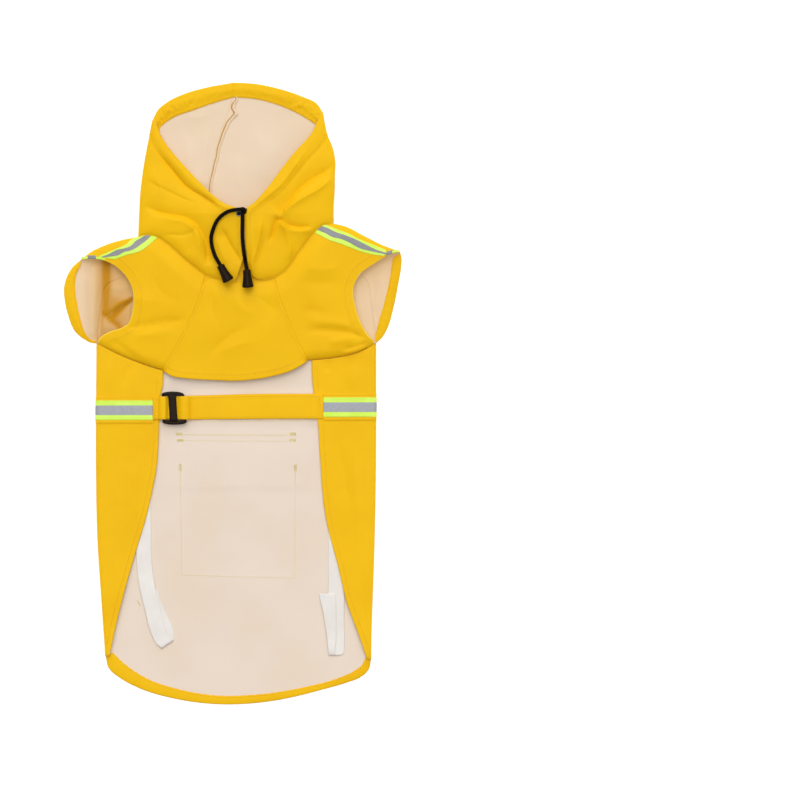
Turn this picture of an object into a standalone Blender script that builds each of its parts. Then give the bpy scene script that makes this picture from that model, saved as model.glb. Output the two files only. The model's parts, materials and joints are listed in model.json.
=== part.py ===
# Dog raincoat lying flat on its back, belly side up.
#
# Frame: metres, +Z up, +Y towards the hood, +X to the right as seen from above. The coat rests
# on z = 0 and the origin is the middle of its footprint.
#
# Every cloth piece is the middle surface of a 1 mm wall. Its plan comes from the seams and edges
# that bound it, and its height from the layer it lies in. Two layers that lie on each other are
# STEP apart, middle to middle, and pieces that meet at a seam are GAP apart.

import math
import bpy
import bmesh
import numpy as np
from mathutils import Vector

# ---------------------------------------------------------------- driving sizes, millimetres
CLOTH = 1.0            # wall of a cloth piece
GAP = 0.3              # clearance at a seam and between layers
STEP = CLOTH + GAP     # middle to middle of two layers
FLOOR = CLOTH / 2      # middle of a layer that lies on the floor

ORIGIN = (2.1, 0.45)   # the footprint's middle is this far left of and below the seam frame's zero

BODY_FOLD = 5.2        # height of the side fold, middle to middle
BODY_FOLD_W = 3.2      # how far the side fold's round reaches in
HOOD_FOLD_W = 11.5     # the same for the hood's side folds and the shoulder folds
FLAP_EDGE = 2.8        # side flap's height above the floor layer at its hemmed inner edge
FLAP_SLOPE = 55.0      # distance over which the side flap comes down to that

TAPE_W = 20.0          # reflective tape
TAPE_Y = (-17.9, -14.7)   # its middle at the left and right side folds
BELT_Y = (-27.4, -3.2)    # belly strap, edge to edge
BELT_X = (-84.6, 91.4)    # its sewn ends
GLIDE_X = (-76.0, -50.4)  # three-bar slide: outside, left to right
GLIDE_Y = (-31.9, 1.0)    # outside, tail to hood
GLIDE_BAR = (-68.9, -61.3)
GLIDE_RAIL = 3.6
GLIDE_END = 2.8
GLIDE_Z = (4.7, 6.7)
CORD_D = 4.0           # drawcord
STOP_L, STOP_R0, STOP_R1 = 18.6, 3.9, 6.2   # bell stop: length, end radii
ELASTIC_W, ELASTIC_T = 15.6, 0.8
POCKET = dict(x0=-60.5, x1=66.0, top=-61.5, bottom=-195.0)
POCKET_FLAP = dict(x0=-64.5, x1=67.5, top=-38.5, bottom=-94.5)
LEASH_SLIT = dict(x=-7.0, y0=47.0, y1=72.0, width=1.8)

# ---------------------------------------------------------------- seams and edges (x, y)
# Each is a smooth line through the places where it turns, in millimetres.
LINES = {
    # hood: rim on the floor layer, from its corner to the centre seam
    "rim_l": ((-85, 284), (-80, 294), (-70.5, 302), (-52, 311), (-31, 317), (-1.5, 322.5)),
    "rim_r": ((91, 291.5), (85.5, 300), (68.5, 308.5), (46, 316), (20, 321.3), (-1.5, 322.5)),
    # hood: front edge from the same corner down to the neck
    "front_l": ((-82.5, 283), (-77.5, 268), (-66, 251), (-52, 235), (-38, 220), (-22, 204.5),
                (-9.5, 195.5), (1, 191.5), (8.4, 187), (9.6, 160), (11.0, 136), (11.2, 115)),
    "front_r": ((89, 289), (80.5, 270), (64, 251), (48, 230.5), (34, 211.5), (20, 196),
                (13.5, 191), (10.6, 185), (11.4, 160), (12.9, 136), (11.8, 115)),
    # hood: side fold
    "side_l": ((-85, 284), (-89, 265), (-92.5, 246.5), (-96, 223.5), (-98, 205), (-99, 184),
               (-100, 162)),
    "side_r": ((91, 291.5), (95.5, 269.5), (101.8, 253.5), (104.2, 240), (103.8, 226),
               (103.6, 212), (102.5, 195), (101, 176)),
    # hood: centre seam, rim to neck
    "hood_seam": ((-1.5, 322.5), (-2.5, 307), (-10.5, 282), (-18.5, 255), (-23, 234), (-27, 211),
                  (-28, 185), (-24, 154), (-15.5, 122.5), (-7.5, 90.5)),
    # neck seam: front, from the middle out to the shoulder, then back, from there to the middle
    "neck_l": ((11.5, 115), (0, 115.2), (-12.5, 117.5), (-22, 119.5), (-30.5, 122), (-40.5, 129.5),
               (-52, 138.5), (-66, 151), (-79, 160.5), (-89.5, 163.5), (-100, 162)),
    "neck_r": ((11.5, 115), (22, 116), (31.5, 117.3), (41.5, 119.5), (52.5, 126), (62, 138),
               (73, 153.5), (83, 166), (91.5, 172.8), (101, 176)),
    "neckback_l": ((-100, 162), (-99.5, 146.5), (-96, 132), (-86.5, 118.5), (-72.5, 107),
                   (-44, 95.5), (-7.5, 90.5)),
    "neckback_r": ((101, 176), (104, 155), (106, 136), (100, 124), (86, 115.5), (59.5, 105),
                   (31.5, 97), (-7.5, 90.5)),
    # raglan seams on the chest and the seams from there to the leg openings
    "raglan_l": ((-30.5, 122), (-38, 96), (-49.5, 70), (-75, 23.5)),
    "raglan_r": ((41.5, 119.5), (44.5, 105), (52.5, 84), (64, 57), (76, 34)),
    "under_l": ((-75, 23.5), (-89, 28), (-105.5, 34), (-124, 42), (-143.5, 52)),
    "under_r": ((76, 34), (96.5, 36), (112.5, 38.5), (128, 42.5), (146.5, 52)),
    "bib_hem": ((-75, 23.5), (-64.5, 17.5), (-52, 15.5), (-19.5, 13.5), (-1, 12.8), (17.5, 14),
                (41, 18), (59.5, 23.8), (68.5, 28.6), (76, 34)),
    # shoulder fold, neck to leg opening
    "top_l": ((-100, 162), (-117.5, 158.5), (-135, 153), (-148.5, 146.5), (-158.5, 139)),
    "top_r": ((101, 176), (112.5, 173.5), (136, 162), (155, 152.5), (171.5, 146.5)),
    # leg opening: upper layer's rim and floor layer's rim, both from underarm to shoulder
    "near_l": ((-143.5, 52), (-137.5, 59), (-129, 63.5), (-118, 67), (-110, 72), (-106.5, 81.5),
               (-104.5, 94.5), (-105, 105), (-109, 116), (-117, 126.5), (-127.5, 134.5),
               (-137, 138.2), (-147.5, 139.2), (-158.5, 139)),
    "near_r": ((146.5, 52), (138.5, 60), (132, 70.5), (125, 90.5), (123, 109), (130.5, 124),
               (145, 134.5), (158.5, 143), (165.5, 145.6), (171.5, 146.5)),
    "far_l": ((-143.5, 52), (-150, 52.6), (-156.5, 56), (-166, 64), (-172.5, 78.5),
              (-176.5, 94.5), (-177.5, 109), (-174.5, 121), (-167.5, 132), (-158.5, 139)),
    "far_r": ((146.5, 52), (153, 58), (158.5, 68), (165, 90.5), (170, 116), (172.6, 131),
              (173, 140), (171.5, 146.5)),
    # raglan seam and underarm on the floor layer, neck corner to underarm
    "backseam_l": ((-96, 132), (-117.5, 121.5), (-134, 112.5), (-139.5, 86.5), (-143.5, 52)),
    "backseam_r": ((106, 136), (121.5, 128), (136, 118.5), (142.5, 86.5), (146.5, 52)),
    # body: side folds and hemmed inner edges of the side flaps, chest to tail
    "fold_l": ((-143.5, 52), (-144, -7.5), (-144, -90.5), (-142.5, -153), (-139.5, -200.5),
               (-137, -236), (-134.5, -272.5)),
    "fold_r": ((146.5, 52), (146.5, -7.5), (146.5, -59.5), (145.5, -132), (143.5, -200),
               (142, -240), (141.5, -276)),
    "edge_l": ((-75, 23.5), (-78.6, -17.5), (-80, -55), (-82, -79), (-86.5, -103), (-92.5, -129),
               (-103.5, -165.5), (-113.5, -200.5), (-122.5, -236), (-130.5, -272.5)),
    "edge_r": ((80.5, 34), (82.5, -1), (86.5, -28), (88.5, -59.5), (95.5, -132), (108, -181),
               (117.5, -219.5), (128, -248), (137.8, -276)),
    "tail": ((-134.5, -272.5), (-131, -286), (-118, -297), (-101, -306), (-60.5, -318),
             (-36.5, -321.8), (-9.5, -323.5), (15.5, -322.6), (41.5, -319.5), (91.5, -308),
             (117.5, -300.4), (130, -295.5), (138.5, -288), (141.5, -276)),
    "tail_hem": ((-128.5, -269), (-114.5, -282), (-94.5, -295.5), (-57, -308.5), (-20, -314.6),
                 (21, -313.8), (72, -306), (109, -296), (121.5, -290.6), (132, -283),
                 (137, -273.5)),
    # turned hems seen inside: their stitched edge
    "hood_hem_l": ((-78, 276.5), (-66, 285.5), (-42.5, 294.5), (-19.5, 302.5), (-2, 307.5)),
    "hood_hem_r": ((84, 279.5), (64, 291.5), (41, 301), (20, 306), (-2, 307.5)),
    "cuff_hem_l": ((-148.5, 54.5), (-155, 61), (-160.5, 76), (-164.5, 94.5), (-166.4, 110.5),
                   (-165, 124), (-160, 134)),
    "cuff_hem_r": ((146, 57), (148.5, 69), (154.5, 90.5), (161, 117), (163.2, 131), (164.5, 141)),
}

# ---------------------------------------------------------------- heights (y, middle, side)
# Upper layer above the floor at stations up the coat, on its centre line and 95 mm to the side.
UPPER = (  # y, middle, side
    (292, 4.0, 4.0),
    (264, 9.0, 7.5),
    (234, 14.0, 10.0),
    (206, 17.5, 11.5),
    (186, 19.0, 11.5),
    (160, 16.5, 11.0),
    (135, 14.0, 10.5),
    (112, 11.5, 10.0),
    (90, 10.5, 10.0),
    (60, 9.5, 9.5),
    (35, 7.4, 8.6),
    (12, 6.4, 7.8),
)
NECK_H = 8.6           # height of the front neck seam
NECK_ROLL = 11.0       # the hood rises from the seam over this distance
UNDER_ROLL = 10.0      # and the shoulder rises from the side flap over this one
HOOD_BACK = 1.2        # clearance of a rising wall's edge from its seam
SEAM_BACK = 0.6        # clearance of a flat panel's edge from its seam
RAGLAN_BACK = 0.25     # the same at a seam whose two sides share their rows
FLOOR_BACK = 1.0       # the same on the floor layer

# Largest folds of the upper layer: soft ridges (+) and troughs (-) along a line
FOLDS = (  # x0, y0, x1, y1, height, half width
    (-94, 190, -44, 178, 2.2, 9.0),
    (-44, 178, -30, 142, 2.0, 8.0),
    (-74, 222, -32, 182, -1.6, 8.0),
    (96, 222, 48, 182, 3.0, 9.0),
    (76, 236, 36, 164, -3.0, 8.0),
    (54, 176, 92, 172, 2.2, 9.0),
    (28, 176, 22, 128, 2.0, 7.0),
    (-12, 176, -4, 126, 2.0, 7.0),
    (-120, 62, -56, 84, 1.6, 9.0),
    (128, 62, 84, 68, 1.6, 9.0),
    (-40, 60, -18, 96, -1.0, 9.0),
)

# Elastic leg loops: middle line and the direction of the width, from the hidden end to the
# sewn end, round the tip
LOOP_L = (  # x, y, z, degrees
    (-95.5, -112.0, 1.7, 0), (-95.0, -138.0, 1.7, 2), (-93.6, -163.0, 1.7, 4),
    (-92.6, -186.0, 1.8, 6), (-91.0, -199.0, 2.85, 9), (-86.3, -221.5, 2.85, 15),
    (-81.6, -238.0, 2.85, 16), (-77.6, -254.0, 2.85, 17), (-76.0, -260.6, 2.85, 20),
    (-75.3, -261.8, 2.28, 22), (-74.6, -260.6, 1.7, 24), (-72.6, -252.0, 1.7, 20),
    (-74.0, -240.0, 1.7, 18), (-78.0, -228.0, 1.7, 22), (-84.9, -214.0, 1.7, 22),
    (-88.5, -206.0, 1.7, 18),
)
LOOP_R = (  # x, y, z, degrees
    (106.0, -112.0, 1.7, 0), (106.0, -150.0, 1.7, 0), (106.0, -190.0, 1.7, 0),
    (106.0, -230.0, 1.7, 0), (106.0, -270.4, 1.7, 0), (105.9, -271.6, 2.28, 0),
    (105.5, -270.4, 2.85, -2), (104.2, -258.0, 2.85, -7), (101.2, -242.0, 2.85, -10),
    (98.0, -224.0, 2.85, -11), (94.8, -208.5, 2.85, -11),
)

# Belt: its middle surface from the left sewn end, over, under and over the slide's bars
BELT_PATH = (  # x, z
    (-84.6, 4.6), (-79.6, 4.65), (-77.0, 6.7), (-75.4, 7.5), (-72.6, 7.45), (-69.7, 3.85),
    (-67.5, 3.72), (-62.6, 3.72), (-60.4, 3.85), (-53.9, 7.4), (-52.0, 7.55), (-49.8, 7.4),
    (-45.2, 4.5), (-38.0, 3.8), (-10.0, 3.7), (30.0, 3.7), (66.0, 3.75), (74.0, 3.9),
    (81.0, 4.65), (86.0, 4.65), (91.4, 4.65),
)

# Drawcord ends over the hood
CORD_L = (  # x, y
    (8.8, 191.9), (2.0, 191.7), (-8.5, 186.6), (-20.0, 178.0), (-23.5, 166.5), (-24.0, 156.0),
    (-22.0, 145.5), (-18.4, 138.2), (-14.6, 132.8),
)
CORD_R = (  # x, y
    (9.8, 186.6), (9.6, 176.0), (9.6, 159.0), (11.2, 143.0), (12.4, 134.0), (13.0, 128.2),
)
EYELET = dict(x=3.6, y=184.2, r_out=4.0, r_in=2.4, thick=0.9)


def smooth(t):
    t = np.clip(t, 0.0, 1.0)
    return t * t * (3 - 2 * t)


def cap(t):
    """Quarter round: rises upright at 0 and is level at 1."""
    return np.sqrt(np.maximum(0.0, 1 - (1 - np.clip(t, 0.0, 1.0)) ** 2))


class Line:
    """A smooth line through its turning points, from 0 to 1 along its length."""

    def __init__(self, rows):
        self.p = np.array(rows, float)
        step = np.hypot(*np.diff(self.p[:, :2], axis=0).T)
        self.s = np.r_[0, np.cumsum(step)]
        self.length = self.s[-1]
        self.s = self.s / self.length
        d = np.diff(self.p, axis=0) / np.diff(self.s)[:, None]
        m = np.empty_like(self.p)
        m[0], m[-1] = d[0], d[-1]
        w = np.diff(self.s)[:, None]
        m[1:-1] = (d[:-1] * w[1:] + d[1:] * w[:-1]) / (w[1:] + w[:-1])
        self.m = m

    def at(self, t):
        t = np.clip(np.asarray(t, float), 0, 1)
        i = np.clip(np.searchsorted(self.s, t, side="right") - 1, 0, len(self.s) - 2)
        h = self.s[i + 1] - self.s[i]
        k = ((t - self.s[i]) / h)[..., None]
        h = h[..., None]
        return ((2 * k ** 3 - 3 * k ** 2 + 1) * self.p[i] + (k ** 3 - 2 * k ** 2 + k) * h * self.m[i]
                + (3 * k ** 2 - 2 * k ** 3) * self.p[i + 1] + (k ** 3 - k ** 2) * h * self.m[i + 1])

    def distance(self, x, y, n=64):
        q = self.at(np.linspace(0, 1, n))
        a, b = q[:-1], q[1:]
        ab = b - a
        px, py = np.asarray(x)[..., None] - a[:, 0], np.asarray(y)[..., None] - a[:, 1]
        k = np.clip((px * ab[:, 0] + py * ab[:, 1]) / (ab ** 2).sum(1), 0, 1)
        return np.hypot(px - k * ab[:, 0], py - k * ab[:, 1]).min(-1)


class Stretch:
    """The stretch of a line between two of its turning points, in either direction."""

    def __init__(self, line, i, j):
        self.line, self.t0, self.t1 = line, line.s[i], line.s[j]
        self.length = abs(self.t1 - self.t0) * line.length

    def at(self, t):
        t = np.clip(np.asarray(t, float), 0, 1)
        return self.line.at(self.t0 + (self.t1 - self.t0) * t)


class Chain:
    """Lines end to end as one, with a sharp corner kept at each joint."""

    def __init__(self, *lines):
        self.lines = lines
        self.length = sum(l.length for l in lines)
        self.s = np.r_[0, np.cumsum([l.length for l in lines])] / self.length

    def at(self, t):
        t = np.clip(np.asarray(t, float), 0, 1)
        out = np.zeros(t.shape + (2,))
        for i, line in enumerate(self.lines):
            lo, hi = self.s[i], self.s[i + 1]
            inside = (t >= lo) & (t <= hi)
            out[inside] = line.at((t[inside] - lo) / (hi - lo))
        return out


L = {name: Line(rows) for name, rows in LINES.items()}


def reverse(line):
    return Line(line.p[::-1])


# ---------------------------------------------------------------- heights of the layers
def upper(x, y):
    """Height of the upper layer's middle, without its rolls at folds and seams."""
    rows = np.array(UPPER)[::-1]
    mid = np.interp(y, rows[:, 0], rows[:, 1])
    side = np.interp(y, rows[:, 0], rows[:, 2])
    t = np.clip(np.abs(x - 3) / 95.0, 0, 1.0)
    z = mid + (side - mid) * t * t
    for x0, y0, x1, y1, h, w in FOLDS:
        dx, dy = x1 - x0, y1 - y0
        n = math.hypot(dx, dy)
        k = ((x - x0) * dx + (y - y0) * dy) / (n * n)
        off = (-(x - x0) * dy + (y - y0) * dx) / n
        z = z + h * np.exp(-(off / w) ** 2) * smooth(k / 0.35) * smooth((1 - k) / 0.35) * (
            (k > 0) & (k < 1))
    return z


def tape_middle(x):
    """The band's middle at a place across the body."""
    return TAPE_Y[0] + (TAPE_Y[1] - TAPE_Y[0]) * np.clip((x + 144) / 290.5, 0, 1)


def raised(x, y):
    """Height of the floor layer over the band, the pocket and its flap beneath it."""
    band = smooth((TAPE_W / 2 + 7.5 - np.abs(y - tape_middle(x))) / 5.5)
    wide = smooth((72.6 - np.abs(x - 2.0)) / 6.0)
    flap = wide * smooth((POCKET_FLAP["top"] + 8 - y) / 6.0) * smooth(
        (y - POCKET_FLAP["bottom"] + 8.5) / 6.5)
    bag = wide * smooth((POCKET["top"] + 8 - y) / 6.0) * smooth((y - POCKET["bottom"] + 8) / 6.5)
    return STEP * (np.maximum(band, flap) + bag)


def flap_height(x, y):
    """Height of a side flap's middle, from its fold down to its hemmed edge."""
    d = np.minimum(L["fold_l"].distance(x, y), L["fold_r"].distance(x, y))
    return FLOOR + FLAP_EDGE + (BODY_FOLD - FLAP_EDGE) * (1 - smooth(d / FLAP_SLOPE))


def chest_height(x, y):
    """Shoulders and bib: down to the side flaps along the underarm seams and to NECK_H along
    the neck seam."""
    z = upper(x, y)
    d = np.minimum(L["under_l"].distance(x, y), L["under_r"].distance(x, y))
    low = flap_height(x, y)
    z = low + (z - low) * cap((d - HOOD_BACK) / UNDER_ROLL)
    d = np.minimum(L["neck_l"].distance(x, y), L["neck_r"].distance(x, y))
    return NECK_H + (z - NECK_H) * smooth(d / 18.0)


def hood_height(x, y):
    z = upper(x, y)
    d = np.minimum(L["neck_l"].distance(x, y), L["neck_r"].distance(x, y))
    return NECK_H + (z - NECK_H) * cap((d - HOOD_BACK) / NECK_ROLL)


def rolled(height, fold, xy, width):
    """Front height and floor height of a layer that is rolled round a fold on to the floor."""
    x, y = xy[..., 0], xy[..., 1]
    near = cap(fold.distance(x, y) / width)
    top = height(x, y)
    middle = (top + FLOOR) / 2
    return middle + (top - middle) * near, middle + (FLOOR - middle) * near


# ---------------------------------------------------------------- building
for old in list(bpy.data.objects):
    bpy.data.objects.remove(old, do_unlink=True)
parts = bpy.data.collections.new("dog_raincoat")
cutters = bpy.data.collections.new("cutters")
bpy.context.scene.collection.children.link(parts)
bpy.context.scene.collection.children.link(cutters)


def material(name, rgb, rough, metal=0.0):
    m = bpy.data.materials.new(name)
    m.use_nodes = True
    b = m.node_tree.nodes["Principled BSDF"]
    b.inputs["Base Color"].default_value = (*rgb, 1)
    b.inputs["Roughness"].default_value = rough
    b.inputs["Metallic"].default_value = metal
    return m


def coated(name):
    return material(name + "_cloth", (0.93, 0.54, 0.015), 0.5)


coat = bpy.data.objects.new("coat", None)      # carries every piece from the seam frame to the
coat.location = (ORIGIN[0] * 0.001, ORIGIN[1] * 0.001, 0)     # middle of the footprint
parts.objects.link(coat)


def add(name, data, mat):
    obj = bpy.data.objects.new(name, data)
    obj.data.materials.append(mat)
    obj.parent = coat
    parts.objects.link(obj)
    return obj


def wall(name, verts, faces, mat, thickness=CLOTH):
    """An open middle surface, in millimetres, thickened evenly to both sides."""
    mesh = bpy.data.meshes.new(name)
    mesh.from_pydata([tuple(v * 0.001) for v in verts], [], faces)
    bm = bmesh.new()
    bm.from_mesh(mesh)
    bmesh.ops.recalc_face_normals(bm, faces=bm.faces)
    bm.to_mesh(mesh)
    bm.free()
    mesh.shade_smooth()
    obj = add(name, mesh, mat)
    mod = obj.modifiers.new("wall", "SOLIDIFY")
    mod.thickness = thickness * 0.001
    mod.offset = 0.0
    return obj


def grid_faces(rows, cols):
    return [(j * cols + i, j * cols + i + 1, (j + 1) * cols + i + 1, (j + 1) * cols + i)
            for j in range(rows - 1) for i in range(cols - 1)]


def grid_wall(name, pts, mat, thickness=CLOTH):
    rows, cols = pts.shape[:2]
    return wall(name, pts.reshape(-1, 3), grid_faces(rows, cols), mat, thickness)


def moved_out(pts, distance, up=True):
    """A grid of points moved along its own normals."""
    du = np.gradient(pts, axis=1)
    dv = np.gradient(pts, axis=0)
    n = np.cross(du, dv)
    n /= np.linalg.norm(n, axis=2)[..., None]
    if up and n[..., 2].mean() < 0:
        n = -n
    return pts + n * distance


def patch(start, end, first, last, u, v):
    """Plan of a panel between four edges. start and end run along u, first and last along v.
    u is a table of one row for each v."""
    v = np.asarray(v, float)[:, None, None]
    c0, c1 = start.at(u), end.at(u)
    d0, d1 = first.at(v[:, 0, 0])[:, None, :], last.at(v[:, 0, 0])[:, None, :]
    p00, p10 = start.at(np.array([0.0])), start.at(np.array([1.0]))
    p01, p11 = end.at(np.array([0.0])), end.at(np.array([1.0]))
    u = u[..., None]
    return ((1 - v) * c0 + v * c1 + (1 - u) * d0 + u * d1
            - ((1 - u) * (1 - v) * p00 + u * (1 - v) * p10 + (1 - u) * v * p01 + u * v * p11))


def drawn_in(xy, first_col=0.0, last_col=0.0, first_row=0.0, last_row=0.0):
    """Pull the borders of a plan in by their clearances, square to each border."""
    xy = xy.copy()

    def pull(a, b, d):
        along = np.gradient(a, axis=0)
        n = np.stack([-along[:, 1], along[:, 0]], -1)
        n /= np.linalg.norm(n, axis=1)[:, None]
        if (n * (b - a)).sum() < 0:
            n = -n
        a += n * d

    if first_col:
        pull(xy[:, 0], xy[:, 1].copy(), first_col)
    if last_col:
        pull(xy[:, -1], xy[:, -2].copy(), last_col)
    if first_row:
        pull(xy[0], xy[1].copy(), first_row)
    if last_row:
        pull(xy[-1], xy[-2].copy(), last_row)
    return xy


def across(first, last, v, n, near_fold):
    """Columns of a panel for each station: n even ones, then those at given distances from its
    fold at u = 1."""
    d = np.hypot(*(first.at(v) - last.at(v)).T)
    rows = []
    for dist in d:
        scale = min(1.0, 0.5 * dist / near_fold[0])
        curl = [1 - scale * k / dist for k in near_fold]
        rows.append(np.r_[np.linspace(0, curl[0], n, endpoint=False), curl])
    return np.array(rows)


def both_layers(front_xy, back_xy, front_z, back_z):
    """One sheet that runs along the upper layer to the fold and back along the floor layer."""
    up = np.dstack([front_xy, front_z])
    down = np.dstack([back_xy, back_z])[:, ::-1][:, 1:]
    return np.concatenate([up, down], axis=1)


def strip_between(name, edge, inner, n, height, mat, start=0.0, end=1.0, thickness=CLOTH):
    """A turned hem between a panel's edge and its stitched edge, lying on the panel."""
    t = np.linspace(start, end, n)
    a, b = edge.at(t), inner.at(t)
    step = (b - a) / np.linalg.norm(b - a, axis=1)[:, None]
    xy = np.stack([a + step * 0.4, (a + b) / 2, b])
    z = height(xy[..., 0], xy[..., 1])
    return grid_wall(name, np.dstack([xy, z]), mat, thickness)


def floor_roll(fold, xy, middle):
    """Height of the floor layer, rolled up to its fold's middle."""
    near = cap(fold.distance(xy[..., 0], xy[..., 1]) / HOOD_FOLD_W)
    z = middle + (FLOOR - middle) * near
    z[:, -1:] = middle
    return z


# ---- hood halves: front edge, side fold, floor layer, centre seam
HOOD_CURL = (11.5, 5.8, 1.6, 0.0)
V_FOOT = dict(l=8, r=7)      # turning point of each front edge at the foot of the opening


def hood_half(side):
    rows, foot = L["front_" + side].p, V_FOOT[side]
    front, fold = Chain(Line(rows[:foot + 1]), Line(rows[foot:])), L["side_" + side]
    seam, rim = L["hood_seam"], L["rim_" + side]
    neck, neckback = L["neck_" + side], L["neckback_" + side]
    meet = front.s[1]
    v = np.r_[np.linspace(0, meet, 9), np.linspace(meet, 0.93, 5)[1:], 0.965, 1.0]
    corner = Line((rows[0], (rows[0] + fold.p[0]) / 2, fold.p[0]))
    fxy = patch(corner, neck, front, fold, across(front, fold, v, 7, HOOD_CURL), v)
    bxy = patch(reverse(rim), reverse(neckback), seam, fold, across(seam, fold, v, 8, HOOD_CURL), v)
    fxy = drawn_in(fxy, first_col=0.2, last_row=HOOD_BACK)
    bxy = drawn_in(bxy, first_col=0.3, last_row=FLOOR_BACK)
    bxy[:, -1] = fxy[:, -1]
    fz, _ = rolled(hood_height, fold, fxy, HOOD_FOLD_W)
    return both_layers(fxy, bxy, fz, floor_roll(fold, bxy, fz[:, -1:]))


# ---- raglan shoulder with its cap sleeve: chest seam, shoulder fold, back seam
RAGLAN_V = np.array((0.0, 0.18, 0.38, 0.58, 0.79, 1.0))      # rows along the raglan seam
UNDER_V = np.array((0.24, 0.46, 0.66, 0.84, 1.0))            # and on along the underarm seam
SHOULDER_CURL = (17.0, 11.0, 6.5, 3.2, 1.0, 0.0)
BACK_CURL = (11.5, 5.8, 1.6, 0.0)
SHOULDER_N = 6


def shoulder(side):
    raglan, under = L["raglan_" + side], L["under_" + side]
    chest = Chain(raglan, under)
    fold, back = L["top_" + side], L["backseam_" + side]
    neck, neckback = L["neck_" + side], L["neckback_" + side]
    near, far = L["near_" + side], L["far_" + side]
    v = np.r_[RAGLAN_V * chest.s[1], chest.s[1] + UNDER_V * (1 - chest.s[1])]
    # the neck seam from the raglan seam out, and its short stretch behind the shoulder
    i = [k for k, p in enumerate(neck.p) if np.allclose(p, raglan.p[0])][0]
    neck_out = Stretch(neck, i, len(neck.p) - 1)
    neck_in = Stretch(neckback, 2, 0)
    fxy = patch(neck_out, near, chest, fold, across(chest, fold, v, SHOULDER_N, SHOULDER_CURL), v)
    bxy = patch(neck_in, far, back, fold, across(back, fold, v, 5, BACK_CURL), v)
    fxy = drawn_in(fxy, first_col=RAGLAN_BACK, first_row=SEAM_BACK)
    bxy = drawn_in(bxy, first_col=FLOOR_BACK, first_row=1.6 * FLOOR_BACK)
    bxy[:, -1] = fxy[:, -1]
    fz, _ = rolled(chest_height, fold, fxy, HOOD_FOLD_W)
    return both_layers(fxy, bxy, fz, floor_roll(fold, bxy, fz[:, -1:]))


# ---- back panel: side flap, side fold, floor layer, side fold, side flap
# Stations from the tail up (y at the left side fold, share of the tail's curve, share of the
# underarm seam's slope)
STATIONS = (
    (-272.5, 1.00, 0.0), (-258.0, 0.84, 0.0), (-243.0, 0.62, 0.0), (-228.0, 0.38, 0.0),
    (-215.0, 0.16, 0.0), (-203.5, 0.0, 0.0), (-196.5, 0.0, 0.0), (-165.0, 0.0, 0.0),
    (-133.0, 0.0, 0.0), (-103.5, 0.0, 0.0), (-96.5, 0.0, 0.0), (-76.0, 0.0, 0.0),
    (-60.0, 0.0, 0.0), (-53.5, 0.0, 0.0), (-37.0, 0.0, 0.0), (-28.6, 0.0, 0.0),
    (-17.9, 0.0, 0.0), (-7.2, 0.0, 0.0), (0.6, 0.0, 0.0), (26.0, 0.0, 0.55),
    (51.6, 0.0, 1.0),
)
TAPE_ROWS = (15, 16, 17)     # the stations beside and under the reflective tape
FLOOR_X = (-0.86, -0.70)     # outer floor columns as shares of the half width
FLOOR_FIXED = (-70.6, -64.6, -44, -22, 0, 22, 44, 68.6, 74.6)
N_EDGE = 4
N_FLAP = N_EDGE + 3
BODY_CURL = (0.5, 0.134, 0.0)


def level(line, y):
    """The point of an upright line at a height up the coat."""
    t = np.linspace(0, 1, 400)
    q = line.at(t)
    return line.at(np.array([np.interp(-y, -q[:, 1], t)]))[0]


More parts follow.
